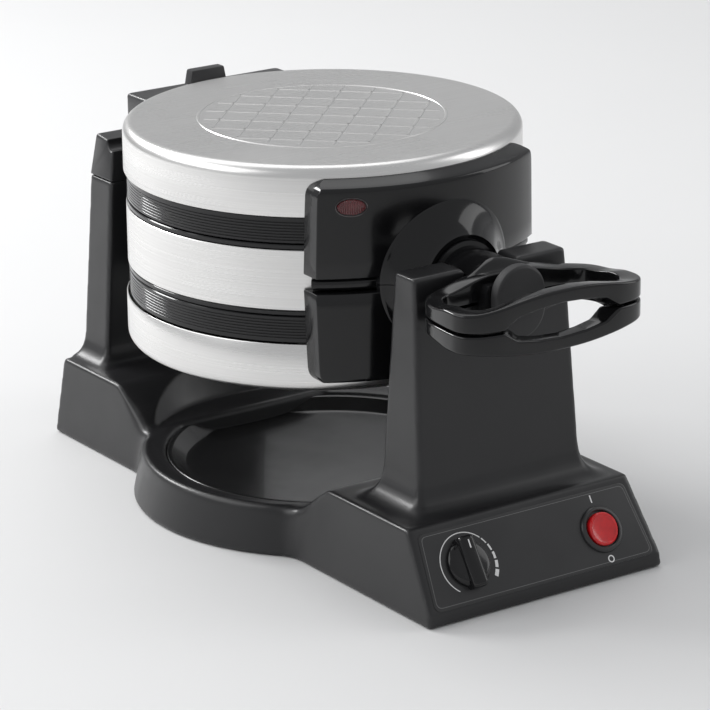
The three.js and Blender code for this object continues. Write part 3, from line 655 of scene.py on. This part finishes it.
def arm_section(y):
    """The arm on the neck: a segment of the round neck that fans out into the loop's back bar."""
    radius = NECK_R
    if y > -121.3:
        radius = between([(-121.0, 19.3), (-119.9, 19.3), (-119.6, 18.6)], y)
    fan = smoothstep((-y - 142) / 9)
    half_neck = math.sqrt(radius ** 2 - NECK_SPLIT ** 2)
    half = half_neck + (31 - half_neck) * fan ** 1.6
    crown = radius + (12.4 - radius) * fan
    floor = NECK_SPLIT if y > -143.4 else SLIT
    section = []
    for k in range(29):
        t = math.pi * k / 28
        x = half * math.cos(t)
        round_top = math.sqrt(max(radius ** 2 - (x * half_neck / half) ** 2, 0))
        swell = 6.5 + (crown - 6.5) * math.sin(t) ** 0.8
        section.append((x, y, max(round_top * (1 - fan) + swell * fan, floor + 0.02)))
    section += [(-half, y, floor), (half, y, floor)]
    return section


def make_front_axle():
    """The slab of the neck between the two handles, and the rounded strips beside it."""
    reach = math.degrees(math.asin((NECK_SPLIT - 0.25) / NECK_R))
    outline = arc_points(0, 0, NECK_R, -reach, reach, 12) + arc_points(0, 0, NECK_R, 180 - reach,
                                                                       180 + reach, 12)
    verts, faces = loft([[(x, y, z) for x, z in outline] for y in (-99.6, -120, -140, -159.7)])
    link("front_axle_neck", (verts, faces), "cooking_unit", GLOSS, ["front_axle"])
    for side, name in ((-1, "left"), (1, "right")):
        sections = []
        start, end = math.asin(17.5 / 103), math.asin(62.4 / 103)
        for k in range(31):
            turn = start + (end - start) * k / 30
            slim = 1.0 if k < 29 else (0.93, 0.75)[k - 29]
            section = []
            for radius, height in fillet([(99.3, -2.9, 0.2), (106.6, -2.9, 2.6), (106.6, 2.9, 2.6),
                                          (99.3, 2.9, 0.2)], 5):
                section.append((side * radius * math.sin(turn), -radius * math.cos(turn),
                                height * slim))
            sections.append(section)
        link(f"front_strip_{name}", loft(sections), "cooking_unit", GLOSS)


def make_end_cap():
    def stadium(shrink):
        half = 14.2 - shrink
        points = arc_points(0, 3.8, half, 0, 180, 24) + arc_points(0, -3.8, half, 180, 360, 24)
        return points
    steps = [(0.5, -160.1), (0.1, -160.3), (0, -160.8), (0, -164.7), (0.25, -165.2), (1.1, -165.85),
             (1.5, -166.0)]
    sections = [[(x, y, z) for x, z in stadium(shrink)] for shrink, y in steps]
    link("axle_end_cap_plate", loft(sections), "cooking_unit", MATTE, ["axle_end_cap"])


# ------------------------------------------------------------------ rear brackets and hinge

def make_rear_bracket(name, side):
    body = "upper_lid" if side > 0 else "cooking_unit"
    back, half = 112.5, 46.5
    steps = [(0.6, 37.3), (0.15, 37.6), (0, 38.4), (0, 50.4), (0.3, 51.3), (0.9, 51.8), (1.6, 52.0)]
    sections = []
    for inset, height in steps:
        edge = half - inset
        front = [(edge * (1 - 2 * k / 20),
                  math.sqrt(BRACKET_IN ** 2 - (edge * (1 - 2 * k / 20)) ** 2), 0.0)
                 for k in range(21)]
        rear = [(-edge, back - inset, 2.0), (edge, back - inset, 2.0)]
        sections.append([(x, y, side * height) for x, y in fillet(front + rear, 4)])
    link(f"{name}_rear_bracket_shell", loft(sections), body, SATIN, [f"{name}_rear_bracket"])
    knuckle = [(back - 0.2, 38), (back - 0.2, HINGE_Z + 3)]
    knuckle += arc_points(HINGE_Y, HINGE_Z, 9.0, 15, -118, 12)
    knuckle += [(RING_R + 0.5, HINGE_Z + 1), (RING_R + 0.5, 31.2), (BRACKET_IN + 0.1, 31.8),
                (BRACKET_IN + 0.1, 38)]
    knuckle = [(max(y, RING_R + 0.5), z) for y, z in knuckle]
    sections = [[(x, y, side * z) for y, z in knuckle] for x in (-29.8, -29.4, 29.4, 29.8)]
    link(f"{name}_hinge_knuckle", loft(sections), body, SATIN)
    sections = []
    levels = [(51.6, 11.3, 105.9, 112.1, 0.8), (58.4, 10, 106, 112, 0.8),
              (59.1, 9.7, 106.3, 111.7, 0.7), (59.4, 9.1, 106.8, 111.2, 0.5)]
    for height, x, y0, y1, corner in levels:
        sections.append([(px, py, side * height) for px, py in rounded_rect(x, y0, y1, corner, 4)])
    link(f"{name}_stop_block", loft(sections), body, SATIN)


def make_rear_axle():
    profile = [(0.01, 104.5), (10.4, 104.5), (10.5, 104.8), (10.5, 145.4), (9.9, 146), (0.01, 146)]
    link("rear_axle_turned", lathe(profile, 64, "Y"), "cooking_unit", BARE, ["rear_axle"])


# ------------------------------------------------------------------ base

def block_sections(corners, halfwidth, draft, edge):
    """A moulded block with a (y, z, radius) side profile, drafted sides and rounded side edges."""
    rings = []
    profile = fillet(corners, 5)
    centre = Vector((sum(y for y, z in profile) / len(profile),
                     sum(z for y, z in profile) / len(profile)))
    ends = [(edge * (1 - math.cos(a)), edge * (1 - math.sin(a)))
            for a in (math.pi / 2, math.pi / 2 * 0.78, math.pi / 2 * 0.55, math.pi / 2 * 0.3, 0.0)]
    order = [(-1, inset, offset) for inset, offset in ends] + [(1, i, o) for i, o in reversed(ends)]
    for sign, inset, offset in order:
        section = []
        for y, z in profile:
            away = Vector((y, z)) - centre
            pulled = Vector((y, z)) - Vector((math.copysign(min(abs(away.x), inset), away.x),
                                              math.copysign(min(abs(away.y), inset), away.y)))
            x = sign * (halfwidth - draft * pulled.y - offset)
            section.append((x, pulled.x, pulled.y))
        rings.append(section)
    return rings


def cut(piece, cutter):
    modifier = piece.modifiers.new("cut", "BOOLEAN")
    modifier.object = cutter
    modifier.operation = "DIFFERENCE"
    modifier.solver = "EXACT"
    apply_modifiers(piece)
    bpy.data.objects.remove(cutter)


def apply_modifiers(piece):
    graph = bpy.context.evaluated_depsgraph_get()
    graph.update()
    mesh = bpy.data.meshes.new_from_object(piece.evaluated_get(graph))
    piece.modifiers.clear()
    old = piece.data
    piece.data = mesh
    bpy.data.meshes.remove(old)


def soften(piece, width, angle):
    modifier = piece.modifiers.new("edge", "BEVEL")
    modifier.width = width * MM
    modifier.segments = 3
    modifier.limit_method = "ANGLE"
    modifier.angle_limit = math.radians(angle)
    modifier.use_clamp_overlap = True
    modifier.harden_normals = False
    apply_modifiers(piece)
    tidy(piece.data, 40)


def loose(shape, level=0.0):
    """A helper object that only cuts other pieces."""
    verts, faces = shape
    mesh = bpy.data.meshes.new("cutter")
    mesh.from_pydata([place(v, level) for v in verts], [], faces)
    tidy(mesh, 180)
    cutter = bpy.data.objects.new("cutter", mesh)
    bpy.context.scene.collection.objects.link(cutter)
    return cutter


FRONT_BLOCK = [(FRONT_END, BASE_LOW, 1.0), (-70, BASE_LOW, 0.5), (-70, 24.0, 4), (-78, 29.4, 10),
               (-96.8, BLOCK_TOP, 9), (-163.9, BLOCK_TOP, 1.6), (-186.7, 7, 1.4)]
REAR_BLOCK = [(70, BASE_LOW, 0.5), (REAR_END, BASE_LOW, 1.0), (155.1, BLOCK_TOP, 2.5),
              (98.5, BLOCK_TOP, 9), (80, 31, 10), (70, 24, 4)]


def bowl_cutter():
    return loose(lathe([(0.01, 25.0), (93.0, 25.0), (116.6, 70), (0.01, 70)], 160))


def make_blocks():
    pieces = []
    for corners in (FRONT_BLOCK, REAR_BLOCK):
        piece = loose(loft(block_sections(corners, 69.7, 0.1, 1.2)))
        cut(piece, bowl_cutter())
        pieces.append(piece)
    return pieces


def corner_wedge(sign_x, sign_y):
    """The concave fillet where a block's side runs into the round tray wall."""
    fillet_r = 20
    sections = []
    for z in (BASE_LOW, 8, 16, 24.3):
        side, wall = 69.7 - 0.1 * z, 99.9 - 0.23 * z
        cx = side + fillet_r
        cy = math.sqrt((wall + fillet_r) ** 2 - cx ** 2)
        first, last = math.pi, math.pi + math.atan2(cy, cx)
        curve = [(cx + fillet_r * math.cos(a), cy + fillet_r * math.sin(a))
                 for a in (first + (last - first) * k / 14 for k in range(15))]
        end = Vector(curve[-1]) * ((wall - 1.8) / wall)
        inside = (side - 1.5, math.sqrt(wall ** 2 - side ** 2) - 1.5)
        outline = [(side - 1.5, cy), *curve, tuple(end), inside]
        sections.append([(sign_x * x, sign_y * y, z) for x, y in outline])
    return loose(loft(sections))


def relax(piece, weight, rounds, floor):
    """Draws every vertex toward its neighbours, as weight says, and never below the floor."""
    mesh = piece.data
    count = len(mesh.vertices)
    points = np.empty(count * 3)
    mesh.vertices.foreach_get("co", points)
    points = points.reshape(-1, 3)
    edges = np.empty(len(mesh.edges) * 2, dtype=np.int64)
    mesh.edges.foreach_get("vertices", edges)
    first, second = edges.reshape(-1, 2).T
    links_of = np.bincount(first, minlength=count) + np.bincount(second, minlength=count)
    share = 0.5 * weight(points)[:, None]
    for _ in range(rounds):
        mean = np.empty_like(points)
        for axis in range(3):
            along = points[:, axis]
            total = np.bincount(first, along[second], count)
            total += np.bincount(second, along[first], count)
            mean[:, axis] = total / links_of
        points += share * (mean - points)
        points[:, 2] = np.maximum(points[:, 2], floor)
    mesh.vertices.foreach_set("co", points.ravel())
    mesh.update()


def near_junctions(points):
    """High where a block's side runs into the round tray wall, fading out around it."""
    x = np.abs(points[:, 0]) / MM
    y = np.abs(points[:, 1] / MM - UNIT_Y)
    away = np.hypot((x - 69.0), (y - 74.0) * 0.8)
    fade = np.clip(1.0 - away / 15.0, 0.0, 1.0)
    lifted = np.clip((points[:, 2] / MM - 5.0) / 6.0, 0.0, 1.0)
    return fade * fade * (3 - 2 * fade) * lifted


def everywhere(points):
    return np.ones(len(points))


def make_moulding(pieces):
    """The whole base as one skin, its blocks, tray wall and posts running into each other."""
    body = pieces[0]
    bm = bmesh.new()
    for piece in pieces:
        bm.from_mesh(piece.data)
    bm.to_mesh(body.data)
    bm.free()
    for piece in pieces[1:]:
        bpy.data.objects.remove(piece)
    skin = body.modifiers.new("skin", "REMESH")
    skin.mode = "VOXEL"
    skin.voxel_size = VOXEL * MM
    apply_modifiers(body)
    relax(body, near_junctions, 70, BASE_LOW * MM)
    relax(body, everywhere, 3, BASE_LOW * MM)
    thin = body.modifiers.new("thin", "DECIMATE")
    thin.ratio = 0.4
    apply_modifiers(body)
    body.name = "base_housing_moulding"
    body.data.name = body.name
    for polygon in body.data.polygons:
        polygon.use_smooth = True
    body.data.materials.clear()
    body.data.materials.append(SATIN)
    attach(body, "base")
    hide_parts("base_housing")


VOXEL = 0.9


def make_tray_pan():
    profile = [(0.01, 8.4), (0.01, 10.8), (40, 11.8), (70, 13.9), (75.5, 16.3), (79.2, 20.4),
               (82.8, 20.4), (82.8, 22.6), (83.3, 23.2), (86.3, 24.1), (87.2, 24.3), (91.4, 24.7),
               (92.6, 25.0), (93.8, 24.85), (94.7, 24.2), (95.3, 23.2), (95.7, 21.8), (96.6, 17),
               (99.9, 1.6), (99.6, BASE_LOW), (97.4, BASE_LOW), (94.2, 18), (92.8, 22), (86, 21.4),
               (81, 17.5), (77, 13.8), (70, 11.2), (40, 9.2)]
    return loose(lathe(profile, 192))


def crowned_top(x):
    return 158.3 - x * x / 624.0


def make_front_post():
    sections = []
    rows = [(36, 12.5), (42.0, 12.0), (42.8, 8.8), (44.2, 6.0), (46.4, 3.4), (49.4, 1.5),
            (53.5, 0.4), (58, 0)]
    rows += [(z, 0) for z in (80, 100, 120, 140, 150)]
    for z, flare in rows:
        sections.append(post_section(z, flare, 0))
    top_r = 1.2
    for k in range(1, 7):
        a = math.pi / 2 * k / 6
        inset = top_r * (1 - math.cos(a))
        rise = top_r * math.sin(a)
        sections.append([(x, y, crowned_top(x) - top_r + rise)
                         for x, y, z in post_section(155, 0, inset)])
    piece = loose(loft(sections))
    outline = [(18.9, 22), (18.6, 15.8), (15.4, 11.6)] + arc_points(0, 0, 18.8, 37, -217, 44)
    outline += [(-15.4, 11.6), (-18.6, 15.8), (-18.9, 22)]
    cutter = loose(loft([[(x, y, z) for x, z in outline] for y in (-165, -105)]), level=AXIS_Z)
    cut(piece, cutter)
    return piece


def post_section(z, flare, inset):
    """Plan outline of the front post at one height."""
    share = (z - 50) / 105
    half = 48.0 - 3.5 * share - inset + flare
    front = -149.5 + 8.1 * share + inset - flare * 0.9
    back = -118.0 - 6.5 * share - inset + flare
    corner = max(1.8 - inset, 0.4) + flare * 0.7
    return [(x, y, z) for x, y in rounded_rect(half, front, back, corner, 7)]


REAR_POST_TOP = 165.0


def rear_post_half(z):
    return 55.6 - 0.064 * z


def rear_post_section(z, flare, corner):
    share = (z - 42) / 99
    back = 155.0 - 2.5 * share if z < 141 else 152.5 - 5.1 * (z - 141) / 24
    half = rear_post_half(z)
    outline = rounded_rect(half + flare, 131.0 - flare, back + flare * 0.3, corner, 6)
    return [(x, y, z) for x, y in outline]


def make_rear_post():
    split = AXIS_Z - 0.4
    rows = [(38, 9), (42, 8.6), (42.8, 6), (44.4, 3.6), (47, 1.6), (51, 0.3), (56, 0)]
    rows += [(z, 0) for z in (90, 120, split - 0.75)]
    sections = [rear_post_section(z, flare, 1.6 + flare * 0.5) for z, flare in rows]
    sections.append([(x * 0.992, y * 0.9995, split - 0.15)
                     for x, y, z in rear_post_section(split, 0, 1.6)])
    post = loose(loft(sections))
    cut(post, bearing_cutter())
    profile = [(131, split + 0.15, 0.5), (152.45, split + 0.15, 0.5), (147.4, REAR_POST_TOP, 2.0),
               (136.0, 163.7, 0.7)]
    profile += [(y, z, 0.0) for y, z in arc_points(130.6, 163.6, 5.4, 0, -90, 8)][1:]
    sections = []
    ends = [(-1, 1.4, 0), (-1, 0.5, -0.35), (-1, 0.12, -0.9), (-1, 0, -1.6),
            (1, 0, -1.6), (1, 0.12, -0.9), (1, 0.5, -0.35), (1, 1.4, 0)]
    for sign, inset, offset in ends:
        centre_y, centre_z = 141.0, 152.0
        section = []
        for y, z in fillet(profile, 3):
            dy, dz = y - centre_y, z - centre_z
            length = math.hypot(dy, dz)
            section.append((sign * (rear_post_half(z) + offset), y - dy / length * inset,
                            z - dz / length * inset))
        sections.append(section)
    piece = link("rear_post_cap_shell", loft(sections), "base", SATIN, ["rear_post_cap"])
    cut(piece, bearing_cutter())
    soften(piece, 0.4, 40)
    return post


def bearing_cutter():
    return loose(lathe([(0.01, 120), (14.3, 120), (14.3, 147), (0.01, 147)], 64, "Y"), level=AXIS_Z)


def make_drip_tray():
    profile = [(0.01, 13), (20, 13.2), (40, 14), (60, 15.1), (70, 16.0), (72.3, 16.4), (73.4, 16.9),
               (79.2, 22.0), (79.9, 22.4), (80.8, 22.55), (81.8, 22.5), (82.3, 22.2), (82.4, 21.8),
               (82.4, 20.9), (80.2, 20.8), (79, 20.6), (77.2, 18.4), (75, 16.6), (70, 14.5),
               (40, 12.4), (0.01, 11.4)]
    link("drip_tray_dished", lathe(profile, 192), "tray", TRAY, ["drip_tray"], sharp=60)


# ------------------------------------------------------------------ control panel

PANEL_LOW = Vector((0, -186.7, 7))
PANEL_HIGH = Vector((0, -163.9, BLOCK_TOP))
SLOPE = (PANEL_HIGH - PANEL_LOW).normalized()
OUTWARD = Vector((1, 0, 0)).cross(SLOPE)
DIAL = (-39.3, 19.5)
SWITCH = (39.8, 18.6)
LABEL = 0.35
PRINT = 0.06
SCALE_R = 14.9


def on_panel(x, up, out):
    point = PANEL_LOW + SLOPE * up + OUTWARD * out
    return (x, point.y, point.z)


def panel_outline(shrink):
    low, high, bottom, top = 65.6 - shrink, 61.6 - shrink, 0.4 + shrink, 38.6 - shrink
    corner = 4.0 - min(shrink, 2) * 0.5
    corners = [(-low, bottom), (low, bottom), (high, top), (-high, top)]
    return fillet([(x, up, corner) for x, up in corners])


def print_on_panel(name, outlines):
    """Thin white print lying on the panel; each outline is a closed loop."""
    marks = [loft([[on_panel(x, up, out) for x, up in outline] for out in (LABEL, LABEL + PRINT)])
             for outline in outlines]
    link(name, joined(marks), "base", INK)


def ring_sector(centre, inner, outer, first, last, steps):
    """A curved bar on the panel; angles run clockwise from the top."""
    def at(radius, degrees):
        a = math.radians(degrees)
        return (centre[0] + radius * math.sin(a), centre[1] + radius * math.cos(a))
    outside = [at(outer, first + (last - first) * k / steps) for k in range(steps + 1)]
    inside = [at(inner, last + (first - last) * k / steps) for k in range(steps + 1)]
    return outside + inside


def make_panel():
    sections = []
    for shrink, out in ((0.3, -0.9), (0.3, LABEL - 0.15), (0.5, LABEL - 0.03), (0.8, LABEL)):
        sections.append([on_panel(x, up, out) for x, up in panel_outline(shrink)])
    link("control_panel_label", loft(sections), "base", PANEL, ["control_panel"])
    # A fine lip round the label, standing 0.04 mm proud; its light grey is a painted highlight for
    # the glint along it.
    edges = [[on_panel(x, up, LABEL + out) for x, up in panel_outline(shrink)]
             for shrink, out in ((1.7, -0.1), (1.7, 0.04), (1.95, 0.04), (1.95, -0.1))]
    link("panel_border_highlight", hoop(edges), "base", BORDER_HIGHLIGHT)
    marks = [ring_sector(DIAL, SCALE_R, SCALE_R + 0.5, -142, 46, 40)]
    for k in range(5):
        first = 49 + 16 * k
        marks.append(ring_sector(DIAL, SCALE_R, SCALE_R + 0.6 + 0.35 * k, first, first + 12.5, 6))
    print_on_panel("dial_scale_print", marks)
    bar = [(SWITCH[0] + x, up) for x, up in ((-0.35, 32.2), (0.35, 32.2), (0.35, 36), (-0.35, 36))]
    print_on_panel("switch_on_print", [bar])
    centre = (SWITCH[0], 3.6)
    halves = [ring_sector(centre, 1.25, 1.85, 0, 180, 14),
              ring_sector(centre, 1.25, 1.85, 180, 360, 14)]
    print_on_panel("switch_off_print", halves)


def turned_on_panel(profile, centre, segments=72, tilt=0.0):
    turn = Matrix.Rotation(tilt, 3, Vector((1, 0, 0)))
    pivot = Vector(on_panel(centre[0], centre[1], 0))
    verts = []
    for k in range(segments):
        a = 2 * math.pi * k / segments
        for radius, out in profile:
            point = Vector(on_panel(centre[0] + radius * math.cos(a),
                                    centre[1] + radius * math.sin(a), out))
            verts.append(tuple(pivot + turn @ (point - pivot)))
    return verts, grid_faces(segments, len(profile), closed_rows=True)


def make_dial():
    profile = [(0.01, 0.5), (11.5, 0.5), (11.7, 0.7), (11.7, 1.7), (11.45, 2.3), (10.8, 3.0),
               (9.8, 3.6), (8.2, 4.1), (0.01, 4.4)]
    link("browning_dial_skirt", turned_on_panel(profile, DIAL, 96), "dial", GLOSS,
         ["browning_dial"])
    sections = []
    levels = [(0.7, 4.7, 12.6, 1.9), (4.2, 4.4, 12.7, 1.9), (5.8, 4.0, 12.5, 1.8),
              (6.5, 3.5, 12.1, 1.6), (6.9, 2.9, 11.5, 1.3), (7.1, 2.2, 10.8, 1.0)]
    for out, half, reach, corner in levels:
        outline = rounded_rect(half, DIAL[1] - reach, DIAL[1] + reach, corner, 5)
        sections.append([on_panel(DIAL[0] + x, up, out) for x, up in outline])
    link("browning_dial_grip", loft(sections), "dial", GLOSS)
    tick = rounded_rect(0.35, DIAL[1] + 6.0, DIAL[1] + 10.2, 0.2, 2)
    sections = [[on_panel(DIAL[0] + x, up, out) for x, up in tick] for out in (7.0, 7.18)]
    link("browning_dial_pointer", loft(sections), "dial", INK)


def make_switch():
    profile = [(9.2, -8.9), (10.3, -8.9), (10.3, 0.1), (11.6, 0.1), (11.7, 0.4), (11.5, 1.3),
               (10.9, 1.95), (10.4, 2.2), (9.7, 2.2), (9.3, 1.9), (9.2, 1.2)]
    link("switch_bezel_round", turned_on_panel(profile, SWITCH, 96), "base", PANEL,
         ["switch_bezel"])
    profile = [(0.01, -2.9), (8.0, -2.9), (8.3, 0), (8.3, 2.0), (8.15, 2.7), (7.7, 3.1), (7.1, 3.1),
               (6.7, 2.7), (6.3, 2.55), (0.01, 2.4)]
    link("power_rocker_lens", turned_on_panel(profile, SWITCH, 96, math.radians(7)), "rocker", RED,
         ["power_rocker"])


# ------------------------------------------------------------------ remaining CAD nodes

CAD_FINISH = {
    "rubber_foot_1": RUBBER, "rubber_foot_2": RUBBER,
    "rubber_foot_3": RUBBER, "rubber_foot_4": RUBBER,
    "cord_gland": RUBBER, "front_bottom_plate": MATTE, "rear_bottom_plate": MATTE,
    "switch_body": MATTE, "front_saddle_bush": BUSH, "rear_bearing_bush": BUSH,
    "rear_hinge_yoke": SATIN, "middle_chassis": BARE, "middle_heating_element": SHEATH,
    "upper_heating_element": SHEATH, "lower_heating_element": SHEATH,
}


def finish_cad_nodes():
    for name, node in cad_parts.items():
        if node.hide_render:
            continue
        material = CAD_FINISH.get(name, BARE)
        node.data.materials.clear()
        node.data.materials.append(material)
        if name in ("rear_hinge_yoke", "cord_gland"):
            modifier = node.modifiers.new("edge", "BEVEL")
            modifier.width = 0.5 * MM
            modifier.segments = 2
            modifier.limit_method = "ANGLE"
            modifier.angle_limit = math.radians(40)


# ------------------------------------------------------------------ stage, light, camera

def stage_material(name, colour, roughness):
    finish = Finish(name)
    faint = finish.ramp(finish.noise(finish.coordinates(), 3, 4), 0, 1)
    finish.colour(faint, colour, tuple(c * 0.985 for c in colour))
    finish.fill(finish.shader, {"Roughness": roughness})
    return finish.material


def make_stage():
    mesh = bpy.data.meshes.new("floor")
    size, rise, radius = 3.0, 2.2, 0.8
    profile = [(-2.5, 0.0), (size - radius, 0.0)]
    profile += [(size - radius + radius * math.sin(a), radius - radius * math.cos(a))
                for a in (math.pi / 2 * k / 12 for k in range(1, 13))]
    profile.append((size, rise))
    forward = Vector((math.sin(math.radians(34)), math.cos(math.radians(34)), 0))
    side = Vector((forward.y, -forward.x, 0))
    verts = []
    for along, height in profile:
        for across in (-3.5, 3.5):
            verts.append(tuple(forward * along + side * across + Vector((0, 0, height))))
    faces = [(2 * k, 2 * k + 1, 2 * k + 3, 2 * k + 2) for k in range(len(profile) - 1)]
    mesh.from_pydata(verts, [], faces)
    for polygon in mesh.polygons:
        polygon.use_smooth = True
    floor = bpy.data.objects.new("floor", mesh)
    bpy.context.scene.collection.objects.link(floor)
    mesh.materials.append(stage_material("pale_floor", (0.76, 0.76, 0.76), 0.55))


def area_light(name, position, target, size, power):
    data = bpy.data.lights.new(name, "AREA")
    data.shape = "RECTANGLE"
    data.size, data.size_y = size
    data.energy = power
    lamp = bpy.data.objects.new(name, data)
    bpy.context.scene.collection.objects.link(lamp)
    lamp.location = position
    lamp.rotation_euler = (Vector(target) - Vector(position)).to_track_quat("-Z", "Y").to_euler()
    return lamp


def make_light():
    bpy.context.scene.view_settings.view_transform = "Standard"
    world = bpy.data.worlds.new("studio")
    bpy.context.scene.world = world
    world.use_nodes = True
    background = world.node_tree.nodes["Background"]
    background.inputs["Color"].default_value = (0.97, 0.98, 1.0, 1)
    background.inputs["Strength"].default_value = 0.50
    middle = (0, 0.02, 0.12)
    area_light("window_left", (-1.5, 0.5, 1.1), middle, (1.6, 1.2), 11)
    area_light("overhead", (0.2, 0.9, 1.8), middle, (1.8, 1.2), 8)
    area_light("edge_light", (-0.65, 1.6, 1.2), middle, (1.2, 0.35), 27)
    area_light("fill_right", (1.5, -0.7, 0.8), middle, (0.7, 1.4), 5)


CAMERA_AZIMUTH = -34.31
CAMERA_ELEVATION = 18.35
CAMERA_ROLL = -0.69
CAMERA_DISTANCE = 1.8497
CAMERA_TARGET = (0.01126, 0.00901, 0.07244)
CAMERA_LENS = 184.05


def make_camera():
    data = bpy.data.cameras.new("camera")
    data.lens = CAMERA_LENS
    data.sensor_width = 36
    data.clip_start, data.clip_end = 0.05, 20
    camera = bpy.data.objects.new("camera", data)
    bpy.context.scene.collection.objects.link(camera)
    az, el = math.radians(CAMERA_AZIMUTH), math.radians(CAMERA_ELEVATION)
    away = Vector((math.sin(az) * math.cos(el), -math.cos(az) * math.cos(el), math.sin(el)))
    camera.location = Vector(CAMERA_TARGET) + away * CAMERA_DISTANCE
    look = (-away).to_track_quat("-Z", "Y")
    camera.rotation_euler = (look.to_matrix() @ Matrix.Rotation(math.radians(CAMERA_ROLL), 3,
                                                                "Z")).to_euler()
    bpy.context.scene.camera = camera


make_housing()
for lid_name, lid_sign in (("upper", 1), ("lower", -1)):
    make_front_bracket(lid_name, lid_sign)
    make_handle(lid_name, lid_sign)
    make_rear_bracket(lid_name, lid_sign)
make_indicator()
make_front_axle()
make_end_cap()
make_rear_axle()
wedges = [corner_wedge(sign_x, sign_y) for sign_x in (-1, 1) for sign_y in (-1, 1)]
make_moulding([make_tray_pan(), *make_blocks(), *wedges, make_front_post(), make_rear_post()])
make_drip_tray()
make_panel()
make_dial()
make_switch()
finish_cad_nodes()
make_stage()
make_light()
make_camera()
